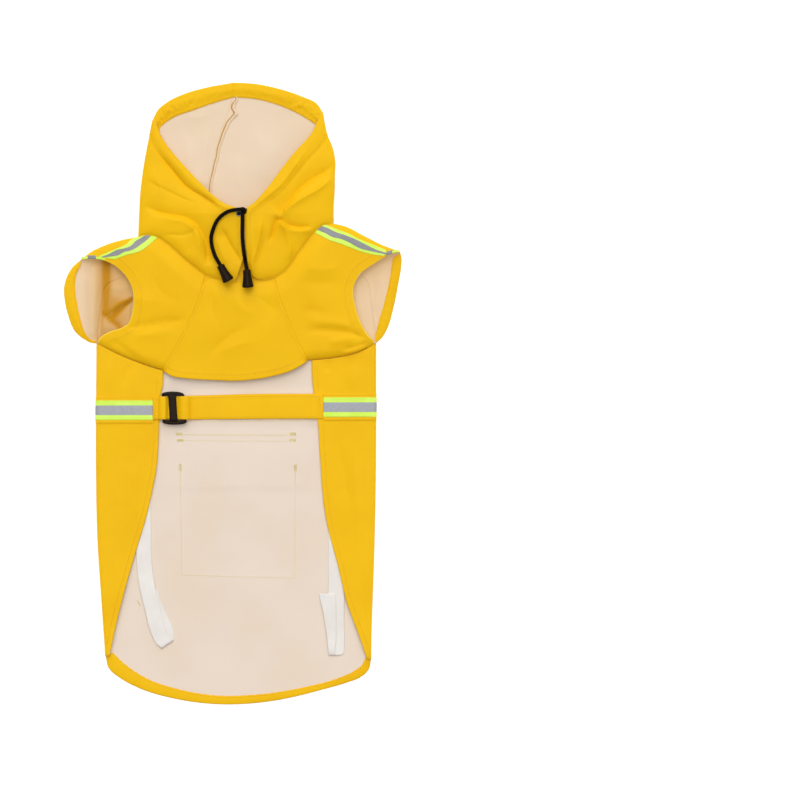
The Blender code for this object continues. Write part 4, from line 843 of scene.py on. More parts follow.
SLEEVE_FOLDS = (  # height, width left, width right, fades, line
    (-2.55, 2.2, 2.2, 0.2, 0.2, ((-136.8, 83.5), (-130.2, 77.7), (-118.6, 67.8))),
    (-2.72, 2.4, 2.6, 0.2, 0.2, ((-129.4, 76), (-120.2, 85.2), (-111.1, 93.5), (-105.4, 98.5))),
    (2.21, 2.6, 2.2, 0.2, 0.2, ((-126.9, 85.3), (-119.6, 92.6), (-111.3, 96.2), (-105.6, 98.8))),
    (1.7, 3.5, 3.5, 0.3, 0.3, ((-132.1, 111.3), (-121.7, 108.2), (-109.2, 107.1))),
    (-1.36, 3.5, 3.5, 0.3, 0.3, ((-132.1, 121.7), (-121.7, 118.6), (-111.3, 117.5))),
    (1.02, 6, 6, 0.3, 0.3, ((-152.9, 130), (-150.8, 100.9), (-146.6, 65.5))),
    (-1.02, 6, 6, 0.3, 0.3, ((146.6, 134.2), (142.5, 100.9), (144.6, 69.7))),
    (1.19, 5, 5, 0.3, 0.3, ((153.9, 136.2), (148.7, 107.1), (142.5, 75.9))),
)


FOLD_EDGE = 0.45          # how sharply a fold turns over


class Fold:
    """A soft ridge (+) or trough (-) along a line, with its own width on each side."""

    def __init__(self, row):
        self.h, self.wl, self.wr, self.f0, self.f1, pts = row
        q = Line(pts).at(np.linspace(0, 1, 28))
        self.a, self.ab = q[:-1], np.diff(q, axis=0)
        reach = 4.2 * max(self.wl, self.wr)
        self.lo, self.hi = q.min(0) - reach, q.max(0) + reach

    def add(self, x, y, z):
        near = (x > self.lo[0]) & (x < self.hi[0]) & (y > self.lo[1]) & (y < self.hi[1])
        if not near.any():
            return
        px = x[near][:, None] - self.a[:, 0]
        py = y[near][:, None] - self.a[:, 1]
        k = np.clip((px * self.ab[:, 0] + py * self.ab[:, 1]) / (self.ab ** 2).sum(1), 0, 1)
        dx, dy = px - k * self.ab[:, 0], py - k * self.ab[:, 1]
        d = np.hypot(dx, dy)
        i = d.argmin(1)
        rows = np.arange(len(i))
        side = self.ab[i, 0] * py[rows, i] - self.ab[i, 1] * px[rows, i]
        along = (i + k[rows, i]) / len(self.a)
        w = np.where(side > 0, self.wl, self.wr)
        crest = np.hypot(d[rows, i], FOLD_EDGE) - FOLD_EDGE
        z[near] += (self.h * np.exp(-crest / (0.80 * w)) * smooth(along / self.f0)
                    * smooth((1 - along) / self.f1))


def folds(rows):
    made = [Fold(r) for r in rows]

    def field(x, y):
        shape = np.shape(x)
        z = np.zeros(x.size)
        xf, yf = np.asarray(x, float).ravel(), np.asarray(y, float).ravel()
        for f in made:
            f.add(xf, yf, z)
        return z.reshape(shape)
    return field


hood_folds, hood_back_folds = folds(HOOD_FOLDS), folds(HOOD_BACK_FOLDS)
chest_folds, flap_folds, panel_folds = folds(CHEST_FOLDS), folds(FLAP_FOLDS), folds(PANEL_FOLDS)
sleeve_folds = folds(SLEEVE_FOLDS)


def uneven(t, seed, rate):
    """Smooth uneven value about -1 to 1 along a length, the same each run."""
    t = np.asarray(t, float) * rate
    out = np.zeros_like(t)
    for k, (f, a) in enumerate(((1.0, 0.5), (1.73, 0.3), (2.91, 0.25), (4.6, 0.15))):
        out += a * np.sin(2 * np.pi * (f * t + 0.37 * seed + 0.61 * k * seed + 0.13 * k))
    return out


def drift(x, y, seed, size):
    """Smooth low unevenness over a panel, about -1 to 1."""
    z = np.zeros(np.shape(x))
    for k, (dx, dy, a) in enumerate(((1, 0.35, 0.5), (-0.42, 1, 0.5), (0.9, -0.8, 0.35),
                                     (1.9, 1.1, 0.22), (-1.3, 2.1, 0.2))):
        z += a * np.sin(2 * np.pi * (dx * x + dy * y) / size + 1.7 * seed + 2.3 * k)
    return z


# ---------------------------------------------------------------- thin shells
CLOTH_T = 0.55          # the visual cloth
LAYER = 0.62            # middle to middle of two visual layers that lie flat on the floor
LOW = 0.32              # middle of the lowest visual layer


def ride(obj, slot_name, *nodes):
    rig.ride(obj, "root")
    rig.slot(obj, slot_name)
    if nodes:
        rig.replaces(obj, *nodes)
    return obj


PIECES = {}


def warmth(obj, of):
    """How much painted shade and painted glow the cloth's reverse takes at each vertex: it stands in for light through
    the coated cloth and shade in its folds.
    """
    co = np.empty(len(obj.data.vertices) * 3)
    obj.data.vertices.foreach_get("co", co)
    co = co.reshape(-1, 3) / MM - [ORIGIN[0], ORIGIN[1], 0.0]
    layer = obj.data.attributes.new("warmth", "FLOAT", "POINT")
    layer.data.foreach_set("value", np.asarray(of(co[:, 0], co[:, 1]), np.float32))


def mesh_piece(name, verts, faces, mats, mat_index=None):
    """verts in seam-frame millimetres."""
    v = (np.asarray(verts, float) + [ORIGIN[0], ORIGIN[1], 0.0]) * MM
    me = bpy.data.meshes.new(name)
    me.from_pydata(v.tolist(), [], [tuple(f) for f in faces] if not hasattr(faces, "tolist")
                   else faces.tolist())
    for m in mats:
        me.materials.append(m)
    if mat_index is not None:
        me.polygons.foreach_set("material_index", np.asarray(mat_index, np.int32))
    me.shade_smooth()
    me.update()
    obj = bpy.data.objects.new(name + "_detail", me)
    scene.collection.objects.link(obj)
    PIECES[name] = obj
    return obj


def vertex_normals(v, f):
    fn = np.cross(v[f[:, 2]] - v[f[:, 0]], v[f[:, 3]] - v[f[:, 1]])
    n = np.zeros_like(v)
    for k in range(4):
        np.add.at(n, f[:, k], fn)
    return n / np.maximum(np.linalg.norm(n, axis=1), 1e-9)[:, None]


def shell(name, verts, faces, mats, out=None, inn=None, up_at=0, outer_mat=None, inner_mat=None,
          round_rim=0.45):
    """A closed thin wall on a middle surface. out and inn are its reach to the outer and the
    inner side at each point; the outer side is the one that faces up at the vertex up_at.
    mats are the outer, inner and rim materials."""
    v, f = np.asarray(verts, float), np.asarray(faces, int)
    count = len(v)
    out = np.full(count, CLOTH_T / 2) if out is None else np.asarray(out, float).ravel()
    inn = np.full(count, CLOTH_T / 2) if inn is None else np.asarray(inn, float).ravel()
    n = vertex_normals(v, f)
    if n[up_at, 2] < 0:
        f, n = f[:, ::-1], -n
    edges = np.concatenate([f[:, [k, (k + 1) % 4]] for k in range(4)])
    border = edges[~np.isin(edges[:, 0] * count + edges[:, 1], edges[:, 1] * count + edges[:, 0])]
    outward = np.zeros_like(v)
    step = v[border[:, 1]] - v[border[:, 0]]
    for k in (0, 1):
        np.add.at(outward, border[:, k], np.cross(step, n[border[:, k]]))
    ids = np.unique(border)
    outward = outward[ids] / np.maximum(np.linalg.norm(outward[ids], axis=1), 1e-9)[:, None]
    index = np.zeros(count, int)
    index[ids] = np.arange(len(ids)) + 2 * count
    outer = v + n * out[:, None]
    inner = v - n * inn[:, None]
    sunk = np.maximum(-np.minimum(outer[:, 2], inner[:, 2]), 0.0)      # it lies flat, not lower
    outer[:, 2] += sunk
    inner[:, 2] += sunk
    half = (out + inn)[ids] / 2
    mid = (outer[ids] + inner[ids]) / 2 + outward * (half * 2 * round_rim)[:, None]
    a, b = border[:, 0], border[:, 1]
    rim1 = np.stack([b, a, index[a], index[b]], 1)
    rim2 = np.stack([index[b], index[a], a + count, b + count], 1)
    all_faces = np.concatenate([f, f[:, ::-1] + count, rim1, rim2])
    m_out = np.zeros(len(f), int) if outer_mat is None else outer_mat
    m_in = np.ones(len(f), int) if inner_mat is None else inner_mat
    m = np.concatenate([m_out, m_in, np.full(len(rim1) + len(rim2), 2)])
    return mesh_piece(name, np.concatenate([outer, inner, mid]), all_faces, mats, m)


def grid(rows, cols):
    i = np.arange(rows * cols).reshape(rows, cols)
    return np.stack([i[:-1, :-1], i[:-1, 1:], i[1:, 1:], i[1:, :-1]], -1).reshape(-1, 4)


def area_of(pts):
    """Area of a grid's middle surface, in square metres."""
    a = np.cross(pts[1:, 1:] - pts[:-1, :-1], pts[:-1, 1:] - pts[1:, :-1])
    return float(np.linalg.norm(a, axis=2).sum() / 2 * 1e-6)


SHEETS = {}


def cloth(name, pts, mats, nodes, out=None, inn=None, up_at=0, outer_mat=None, inner_mat=None,
          slot_name="coated_cloth"):
    rows, cols = pts.shape[:2]
    obj = shell(name, pts.reshape(-1, 3), grid(rows, cols), mats, out, inn, up_at, outer_mat,
                inner_mat)
    SHEETS[name] = (obj, area_of(pts))
    return ride(obj, slot_name, *nodes)


# ---------------------------------------------------------------- hems
def hem(d, width, thick=0.5, groove=0.28):
    """What a turned and stitched hem adds to a wall at a distance from its edge."""
    band = thick * (1 - smooth((d - width + 0.4) / 1.4))
    return band - groove * np.exp(-((d - width + 1.6) / 0.75) ** 2)


def pucker(d, along, width, seed, height=0.35, pitch=11.0):
    """Small uneven gathers that cross a hem."""
    across_ = smooth(d / 2.5) * smooth((width + 2.5 - d) / 4.0)
    return height * across_ * uneven(along, seed, 1.0 / pitch)


# ---------------------------------------------------------------- stitches
RING = 6
THREAD_X = np.array((-1.0, -0.72, 0.0, 0.72, 1.0))
THREAD_R = np.array((0.25, 0.85, 1.0, 0.85, 0.25))
THREAD_Z = np.array((-0.9, 0.0, 0.28, 0.0, -0.9))


class Threads:
    """Short threads joined in one mesh."""

    def __init__(self):
        self.v, self.f, self.n = [], [], 0

    def stitch(self, p, along, normal, length, radius):
        along = along / np.linalg.norm(along)
        normal = normal - along * (normal @ along)
        normal = normal / np.linalg.norm(normal)
        side = np.cross(normal, along)
        a = np.arange(RING) * 2 * np.pi / RING
        ring = side[None, :] * np.cos(a)[:, None] + normal[None, :] * np.sin(a)[:, None]
        for x, r, z in zip(THREAD_X, THREAD_R, THREAD_Z):
            self.v.append(p + along * x * length / 2 + normal * z * radius + ring * r * radius)
        base = self.n
        for j in range(len(THREAD_X) - 1):
            for i in range(RING):
                k = (i + 1) % RING
                self.f.append((base + j * RING + i, base + j * RING + k,
                               base + (j + 1) * RING + k, base + (j + 1) * RING + i))
        last = base + (len(THREAD_X) - 1) * RING
        self.f.append(tuple(base + i for i in range(RING))[::-1])
        self.f.append(tuple(last + i for i in range(RING)))
        self.n += RING * len(THREAD_X)

    def row(self, xy, surface, pitch=3.0, length=2.2, radius=0.19, up=1.0, lift=0.0, start=0.0):
        """Running stitches along a line in plan, on a surface found from above or below."""
        q = np.asarray(xy, float)
        step = np.hypot(*np.diff(q, axis=0).T)
        s = np.r_[0, np.cumsum(step)]
        if s[-1] < pitch:
            return
        at = np.arange(start + pitch / 2, s[-1], pitch)
        for t in at:
            ends = [np.array([np.interp(t + k, s, q[:, 0]), np.interp(t + k, s, q[:, 1])])
                    for k in (-length / 2, 0, length / 2)]
            hits = [surface(e[0], e[1], up) for e in ends]
            if any(h is None for h in hits):
                continue
            p0, p1, p2 = (np.array([e[0], e[1], h[0]]) for e, h in zip(ends, hits))
            if abs(p2[2] - p0[2]) > length:
                continue
            self.stitch(p1 + hits[1][1] * (radius * 0.55 + lift), p2 - p0, hits[1][1], length,
                        radius)

    def bar(self, p, q, surface, width=1.6, n=9, radius=0.2, up=1.0):
        """A bartack: close threads square across a short line."""
        p, q = np.array(p, float), np.array(q, float)
        along = (q - p) / np.linalg.norm(q - p)
        side = np.array([-along[1], along[0]])
        for t in np.linspace(0, 1, n):
            c = p + (q - p) * t
            hit = surface(c[0], c[1], up)
            if hit is None:
                continue
            self.stitch(np.array([c[0], c[1], hit[0]]) + hit[1] * radius * 0.8,
                        np.array([side[0], side[1], 0.0]), hit[1], width, radius)

    def piece(self, name, mat, slot_name="coated_cloth"):
        obj = mesh_piece(name, np.concatenate(self.v), self.f, [mat])
        return ride(obj, slot_name)


def surface_of(*objs):
    """Height and normal of the first surface met from above (or below), in millimetres."""
    v, f, n = [], [], 0
    for o in objs:
        me = o.data
        co = np.empty(len(me.vertices) * 3)
        me.vertices.foreach_get("co", co)
        v.append(co.reshape(-1, 3) / MM - [ORIGIN[0], ORIGIN[1], 0.0])
        f += [tuple(i + n for i in p.vertices) for p in me.polygons]
        n += len(me.vertices)
    tree = BVHTree.FromPolygons(np.concatenate(v).tolist(), f)

    def find(x, y, up=1.0):
        hit = tree.ray_cast(Vector((x, y, 80.0 * up)), Vector((0, 0, -up)))
        if hit[0] is None:
            return None
        normal = np.array(hit[1])
        if normal[2] * up < 0:
            normal = -normal
        return hit[0].z, normal
    return find


def beside(line, distance, n=200, start=0.0, end=1.0):
    """A line moved sideways in plan; a positive distance is to its left."""
    q = line.at(np.linspace(start, end, n))
    t = np.gradient(q, axis=0)
    t /= np.linalg.norm(t, axis=1)[:, None]
    return q + np.stack([-t[:, 1], t[:, 0]], -1) * distance


class Poly:
    """Distance and place along a dense line in plan."""

    def __init__(self, q):
        self.a, self.ab = q[:-1], np.diff(q, axis=0)
        self.s = np.r_[0, np.cumsum(np.hypot(*self.ab.T))]

    def near(self, x, y):
        shape = np.shape(x)
        px = np.ravel(x)[:, None] - self.a[:, 0]
        py = np.ravel(y)[:, None] - self.a[:, 1]
        k = np.clip((px * self.ab[:, 0] + py * self.ab[:, 1]) / (self.ab ** 2).sum(1), 0, 1)
        d = np.hypot(px - k * self.ab[:, 0], py - k * self.ab[:, 1])
        i = d.argmin(1)
        rows = np.arange(len(i))
        seg = np.hypot(*self.ab.T)
        return d[rows, i].reshape(shape), (self.s[i] + k[rows, i] * seg[i]).reshape(shape)


def poly(line, n=90, start=0.0, end=1.0):
    return Poly(line.at(np.linspace(start, end, n)))


# ---------------------------------------------------------------- plans of the panels
def reach_rows(first, last, v, n, near_fold):
    """Columns of a panel for each station: n even ones, then those close to its fold."""
    d = np.hypot(*(first.at(v) - last.at(v)).T)
    rows = []
    for dist in d:
        scale = min(1.0, 0.5 * dist / near_fold[0])
        curl = [1 - scale * k / dist for k in near_fold]
        rows.append(np.r_[np.linspace(0, curl[0], n, endpoint=False), curl])
    return np.array(rows)


def patch(start, end, first, last, u, v):
    v = np.asarray(v, float)[:, None, None]
    c0, c1 = start.at(u), end.at(u)
    d0, d1 = first.at(v[:, 0, 0])[:, None, :], last.at(v[:, 0, 0])[:, None, :]
    p00, p10 = start.at(np.array([0.0])), start.at(np.array([1.0]))
    p01, p11 = end.at(np.array([0.0])), end.at(np.array([1.0]))
    u = u[..., None]
    return ((1 - v) * c0 + v * c1 + (1 - u) * d0 + u * d1
            - ((1 - u) * (1 - v) * p00 + u * (1 - v) * p10 + (1 - u) * v * p01 + u * v * p11))


def drawn_in(xy, first_col=0.0, last_col=0.0, first_row=0.0, last_row=0.0):
    """Pull the borders of a plan in by their clearances, square to each border."""
    xy = xy.copy()

    def pull(a, b, d):
        along = np.gradient(a, axis=0)
        n = np.stack([-along[:, 1], along[:, 0]], -1)
        n /= np.maximum(np.linalg.norm(n, axis=1), 1e-9)[:, None]
        if (n * (b - a)).sum() < 0:
            n = -n
        a += n * d

    if first_col:
        pull(xy[:, 0], xy[:, 1].copy(), first_col)
    if last_col:
        pull(xy[:, -1], xy[:, -2].copy(), last_col)
    if first_row:
        pull(xy[0], xy[1].copy(), first_row)
    if last_row:
        pull(xy[-1], xy[-2].copy(), last_row)
    return xy


def both_layers(front, back):
    """One sheet that runs along the upper layer to the fold and back along the floor layer."""
    return np.concatenate([front, back[:, ::-1][:, 1:]], axis=1)


# ---------------------------------------------------------------- hood
CURL = (11.5, 9.8, 8.2, 6.8, 5.5, 4.3, 3.3, 2.4, 1.6, 0.95, 0.45, 0.12, 0.0)
V_FOOT = dict(l=8, r=7)
HOOD_NECK = dict(l=Line(((0.5, 115),) + LINES["neck_l"][2:]),
                 r=Line(((26, 118),) + LINES["neck_r"][2:]))
FRONT = {}
for s in "lr":
    p = L["front_" + s].p
    FRONT[s] = Chain(Line(p[:V_FOOT[s] + 1]), Line(p[V_FOOT[s]:]))
front_near = {s: poly(FRONT[s], 140) for s in "lr"}
rim_near = {s: poly(L["rim_" + s], 120) for s in "lr"}
neck_near = {s: poly(HOOD_NECK[s], 120) for s in "lr"}
HOOD_HEM = 13.5


def hem_width(y, s):
    """The rim's hem narrows towards the foot of the opening."""
    return 7.0 + ((10.2 if s == "l" else 14.5) - 7.0) * smooth((y - 190) / 26.0)


def hood_upper(x, y, s):
    z = hood_height(x, y)
    d, along = front_near[s].near(x, y)
    w = hem_width(y, s)
    dn, _ = neck_near[s].near(x, y)
    z = z + hood_folds(x, y) * smooth(dn / 7.0) * smooth((d + 2) / 7.0)
    z = z + 0.45 * drift(x, y, 1.0 if s == "l" else 2.2, 74.0) * smooth(dn / 14.0)
    # the rim rolls over its drawcord channel, with a trough beyond it
    channel = np.exp(-((d - 0.42 * w) / (0.32 * w)) ** 2) * smooth((y - 150) / 30.0)
    beyond = np.exp(-((d - w - 1.2) / 2.2) ** 2) * smooth((y - 205) / 20.0)
    z = z + 0.85 * channel - 0.55 * beyond
    z = z + pucker(d, along, w, 3.0 if s == "l" else 5.0, 0.10, 23.0)
    return z, d, w


def hood_floor(x, y, s):
    z = LOW + hood_back_folds(x, y) * smooth((y - 104) / 18.0)
    z = z + 0.35 * (1 + drift(x, y, 4.0 + (s == "r"), 88.0)) * smooth((y - 104) / 18.0)
    dr, along = rim_near[s].near(x, y)
    calm = smooth(dr / 16.0)
    z = LOW + (z - LOW) * calm
    return z, dr, along


HOOD_MIDDLE = {}


def roll_down(s, x, y, z):
    """The floor layer climbs to the middle of its side fold."""
    ys, mid = HOOD_MIDDLE[s]
    near = cap(L["side_" + s].distance(x, y) / HOOD_FOLD_W)
    middle = np.interp(y, ys, mid)
    return middle + (z - middle) * near


def hood_half(s):
    front, fold = FRONT[s], L["side_" + s]
    seam, rim = L["hood_seam"], L["rim_" + s]
    meet = front.s[1]
    v = np.r_[np.linspace(0, meet, 140), np.linspace(meet, 1, 80)[1:]]
    top = L["front_" + s].p[0]
    corner = Line((top, (top + fold.p[0]) / 2, fold.p[0]))
    fxy = patch(corner, HOOD_NECK[s], front, fold, reach_rows(front, fold, v, 100, CURL), v)
    bxy = patch(reverse(rim), reverse(L["neckback_" + s]), seam, fold,
                reach_rows(seam, fold, v, 40, CURL), v)
    fxy = drawn_in(fxy, last_row=0.25)
    bxy = drawn_in(bxy, first_col=0.1, last_row=0.15)
    bxy[:, -1] = fxy[:, -1]
    x, y = fxy[..., 0], fxy[..., 1]
    top_z, d, w = hood_upper(x, y, s)
    near = cap(fold.distance(x, y) / HOOD_FOLD_W)
    middle = (top_z + LOW) / 2
    fz = middle + (top_z - middle) * near
    order = np.argsort(fxy[:, -1, 1])
    HOOD_MIDDLE[s] = (fxy[order, -1, 1], fz[order, -1])
    bx, by = bxy[..., 0], bxy[..., 1]
    low, dr, along = hood_floor(bx, by, s)
    bz = roll_down(s, bx, by, low)
    bz[:, -1] = fz[:, -1]
    pts = both_layers(np.dstack([fxy, fz]), np.dstack([bxy, bz]))
    extra_f = 0.5 * hem(d, w, 0.55, 0.32)
    extra_b = 0.5 * hem(dr, HOOD_HEM, 0.5, 0.3)
    extra = np.concatenate([extra_f, extra_b[:, ::-1][:, 1:]], axis=1)
    t = np.full(extra.shape, CLOTH_T / 2) + np.maximum(extra, -0.14)
    floor_t = t.copy()
    n_front = fxy.shape[1]
    floor_t[:, n_front:] = np.minimum(floor_t[:, n_front:], LOW - 0.02)
    return pts, floor_t, t


for s, name in (("l", "left"), ("r", "right")):
    pts, t_out, t_in = hood_half(s)
    cloth("hood_" + name, pts, [yellow, cream, yellow_painted_highlight], ["hood_" + name], t_out, t_in,
          up_at=20 * pts.shape[1] + 20)
    # even painted glow and slight painted shade over the hood's inside
    warmth(PIECES["hood_" + name], lambda x, y: 0.12 + 0 * x)

# turned rim of the hood, seen inside: the drawcord's channel
RIM_FOOT = dict(l=((-86.6, 270.5), (-79.6, 270.0)), r=((93.4, 276.5), (85.2, 276.0)))
for s, name in (("l", "left"), ("r", "right")):
    rim, inner = L["rim_" + s], L["hood_hem_" + s]
    t = np.linspace(0.012, 0.998, 150)
    a, b = rim.at(t), inner.at(t)
    # at the corner the hem turns down with the rim, under the upper layer
    turn = np.linspace(0, 1, 12)[:-1, None]
    a = np.concatenate([np.array(RIM_FOOT[s][0]) * (1 - turn) + a[0] * turn, a])
    b = np.concatenate([np.array(RIM_FOOT[s][1]) * (1 - turn) + b[0] * turn, b])
    k = np.linspace(0, 1, 13)[:, None, None]
    xy = a + (b - a) * k
    xy = xy + (b - a) / np.linalg.norm(b - a, axis=1)[:, None] * 0.25 * (1 - k)
    x, y = xy[..., 0], xy[..., 1]
    low, dr, along = hood_floor(x, y, s)
    w = np.linalg.norm(b - a, axis=1)[None, :]
    z = roll_down(s, x, y, low) + LAYER + 0.05
    z = z + 1.35 * np.exp(-((dr - 0.42 * w) / (0.30 * w)) ** 2)
    lean = dr * (0.95 + 0.9 * uneven(along, 3.0, 1 / 61.0))
    crumple = uneven(along + lean, 7.0 + (s == "r"), 1 / 27.0)
    crumple = crumple + 0.6 * uneven(along - 1.3 * dr, 2.0, 1 / 15.5) * smooth(
        uneven(along, 9.0, 1 / 33.0) + 0.5)
    # most of it towards the corner, where the channel is drawn up
    reach = 0.22 + 0.55 * smooth((62.0 - along) / 30.0)
    z = z + reach * np.exp(-((dr - 0.50 * w) / (0.36 * w)) ** 2) * (1.0 - 1.6 * np.abs(crumple))
    cloth("hood_hem_" + name, np.dstack([xy, z]), [yellow_hem, yellow_hem, yellow_hem],
          ["hood_hem_" + name], up_at=40)

# seam allowance of the hood's centre seam: a narrow edge that stands up beside the seam
ALLOWANCE = (  # left edge x, width, y
    (0.2, 2.6, 309.0), (0.6, 2.8, 305.0), (-3.2, 3.8, 300.5), (-4.0, 4.4, 296.0), (-1.6, 5.0, 291.0),
    (-4.6, 4.6, 287.0), (-8.6, 4.0, 282.0), (-11.4, 3.6, 275.5), (-13.6, 3.2, 270.0),
    (-16.0, 3.0, 262.0), (-18.6, 2.9, 254.0), (-19.8, 2.8, 245.5), (-21.9, 2.7, 238.0),
    (-23.2, 2.7, 231.0), (-25.7, 2.6, 221.0), (-26.8, 2.6, 211.0), (-27.6, 2.6, 200.0),
    (-27.6, 2.6, 186.0), (-26.6, 2.6, 168.0),
)
rows = np.array(ALLOWANCE)
left_edge = Line(np.column_stack([rows[:, 0], rows[:, 2]]))
right_edge = Line(np.column_stack([rows[:, 0] + rows[:, 1], rows[:, 2] - 0.8]))
t = np.linspace(0, 1, 190)
k = np.linspace(0, 1, 10)
xy = left_edge.at(t)[:, None] * (1 - k)[None, :, None] + right_edge.at(t)[:, None] * k[None, :, None]
x, y = xy[..., 0], xy[..., 1]
base = np.maximum(hood_floor(x, y, "l")[0], hood_floor(x, y, "r")[0])
lift = 0.48 + 0.52 * np.exp(-((k - 0.55) / 0.24) ** 2)[None, :] * (
    1 + 0.5 * uneven(t * 150, 1.3, 1 / 13.0))[:, None]
lift = lift + 0.9 * np.exp(-((y - 292.0) / 8.0) ** 2) * np.sin(np.pi * k)[None, :]
# its first three columns take the raw edge's dark brown, which paints the shade line beside the seam
raw = np.tile(np.where(np.arange(9) < 3, 3, 0), len(t) - 1)
allowance = shell("hood_seam_allowance", np.dstack([xy, base + lift]).reshape(-1, 3),
                  grid(*xy.shape[:2]), [cream, cream, raw_edge_shade, raw_edge_shade],
                  np.full(xy.shape[:2], 0.18), np.full(xy.shape[:2], 0.18), up_at=20, outer_mat=raw)
# the same painted glow and slight painted shade on the seam allowance
warmth(allowance, lambda x, y: 0.17 + 0 * x)
ride(allowance, "coated_cloth")


# ---------------------------------------------------------------- shoulders with their sleeves
S_CURL = (17.0, 14.6, 12.3, 10.2, 8.3, 6.6, 5.0, 3.6, 2.4, 1.5, 0.8, 0.3, 0.0)
near_edge = {s: poly(L["near_" + s], 120) for s in "lr"}
far_edge = {s: poly(L["far_" + s], 120) for s in "lr"}
CUFF_HEM = 9.5
neck_seam = {s: poly(L["neck_" + s], 120) for s in "lr"}


def chest_upper(x, y):
    z = chest_height(x, y)
    dn = np.minimum(neck_seam["l"].near(x, y)[0], neck_seam["r"].near(x, y)[0])
    calm = smooth(dn / 8.0)
    z = z + chest_folds(x, y) * calm + 0.35 * drift(x, y, 3.0, 90.0) * calm
    return z - 0.35 * np.exp(-(dn / 1.6) ** 2)


def shoulder(s):
    raglan, under = L["raglan_" + s], L["under_" + s]
    chest = Chain(raglan, under)
    fold, back = L["top_" + s], L["backseam_" + s]
    neck, neckback = L["neck_" + s], L["neckback_" + s]
    v = np.r_[np.linspace(0, 1, 66) * chest.s[1],
              chest.s[1] + np.linspace(0, 1, 56)[1:] * (1 - chest.s[1])]
    i = [k for k, p in enumerate(neck.p) if np.allclose(p, raglan.p[0])][0]
    neck_out, neck_in = Stretch(neck, i, len(neck.p) - 1), Stretch(neckback, 2, 0)
    fxy = patch(neck_out, L["near_" + s], chest, fold,
                reach_rows(chest, fold, v, 44, S_CURL), v)
    bxy = patch(neck_in, L["far_" + s], back, fold, reach_rows(back, fold, v, 26, CURL), v)
    fxy = drawn_in(fxy, first_col=0.12, first_row=0.15)
    bxy = drawn_in(bxy, first_col=0.04, first_row=0.2)
    bxy[:, -1] = fxy[:, -1]
    x, y = fxy[..., 0], fxy[..., 1]
    top_z = chest_upper(x, y)
    d, along = near_edge[s].near(x, y)
    top_z = top_z + pucker(d, along, 7.0, 2.0 + (s == "r"), 0.22, 10.0)
    dc = poly(chest, 140).near(x, y)[0]
    top_z = top_z - 0.22 * np.exp(-(dc / 1.6) ** 2)
    near = cap(fold.distance(x, y) / HOOD_FOLD_W)
    middle = (top_z + LOW) / 2
    fz = middle + (top_z - middle) * near
    bx, by = bxy[..., 0], bxy[..., 1]
    db = poly(back, 120).near(bx, by)[0]
    df, along_f = far_edge[s].near(bx, by)
    mouth = smooth((by - 58) / 14.0) * smooth((128 - by) / 12.0)
    low = LOW + 0.6 * smooth(df / 10.0) * mouth
    if s == "l":     # the sleeve's inner wall stands up before it drops to the seam
        low = low + 3.4 * np.exp(-((bx + 146.5) / 6.5) ** 2) * smooth((bx + 166) / 14.0) * (
            smooth((by - 54) / 10.0) * smooth((137 - by) / 8.0)) * smooth(db / 7.0)
    else:
        low = low + 0.5 * np.exp(-((db - 12.0) / 5.0) ** 2) * mouth
    low = np.maximum(low + sleeve_folds(bx, by) * smooth((df - 7.0) / 5.0) * smooth(db / 3.0), LOW)
    nearb = cap(fold.distance(bx, by) / HOOD_FOLD_W)
    bz = fz[:, -1:] + (low - fz[:, -1:]) * nearb
    bz[:, -1] = fz[:, -1]
    pts = both_layers(np.dstack([fxy, fz]), np.dstack([bxy, bz]))
    extra_f = 0.5 * hem(d, CUFF_HEM, 0.42, 0.16)
    extra_b = 0.5 * hem(df, CUFF_HEM, 0.30, 0.10)
    extra = np.concatenate([extra_f, extra_b[:, ::-1][:, 1:]], axis=1)
    t = CLOTH_T / 2 + np.maximum(extra, -0.12)
    out = t.copy()
    out[:, fxy.shape[1]:] = np.minimum(out[:, fxy.shape[1]:], LOW - 0.02)
    return pts, out, t


def quiet_edges(obj, *lines):
    """The raw edges along these seams are lined, so that they take the reverse's colour."""
    m = obj.data
    seam = [poly(line, 160) for line in lines]
    c = np.array([p.center for p in m.polygons]) / MM - np.array([ORIGIN[0], ORIGIN[1], 0])
    rim = np.array([p.material_index for p in m.polygons]) >= 2
    d = np.min([line.near(c[:, 0], c[:, 1])[0] for line in seam], axis=0)
    for i in np.flatnonzero(rim & (d < 1.6)):
        m.polygons[int(i)].material_index = 1


TUCK_SHADE_LINES = tuple(Line(p) for p in (      # lines of painted crease shade along the small folds inside the left sleeve
    ((-136.8, 83.4), (-131.0, 78.0), (-119.1, 67.6)),
    ((-129.4, 76.0), (-120.2, 85.2), (-111.1, 93.5), (-105.4, 98.5)),
    ((-126.9, 85.3), (-119.6, 92.6), (-111.3, 96.4), (-105.6, 99.2)),
))


def in_sleeves(x, y):
    """Painted shade and painted glow on the sleeves' insides, most in the fold's shade."""
    left = np.interp(x, (-170, -158, -151, -146.6, -142.5, -139.4, -136.4, -131.4, -128.4, -124.8, -110),
                     (0.20, 0.25, 0.33, 0.42, 0.52, 0.66, 0.94, 0.96, 0.66, 0.54, 0.58))
    deep = smooth((106.0 - y) / 12.0) * smooth((y - 58.0) / 12.0) * smooth((x + 140.0) / 4.0)
    left = left + np.maximum(np.interp(x, (-124.0, -110.0), (0.80, 0.60)) - left, 0.0) * deep
    under = smooth((83.4 - 0.893 * (x + 136.8) - y) / 3.0) * smooth((x + 139.0) / 4.0)
    left = left * (1 - under) + np.minimum(left, 0.62) * under
    # painted crease shade along each tuck
    for line in TUCK_SHADE_LINES:
        left = left + 0.34 * np.exp(-(line.distance(x, y) / 2.1) ** 2) * smooth((x + 140.0) / 3.0)
    left = left * smooth((-104.0 - x) / 4.0)
    right = (0.25 + 0.07 * smooth((y - 90) / 40.0)) * smooth((x - 112.0) / 6.0)
    return np.minimum((left + right) * smooth((y - 46.0) / 8.0), 1.0)


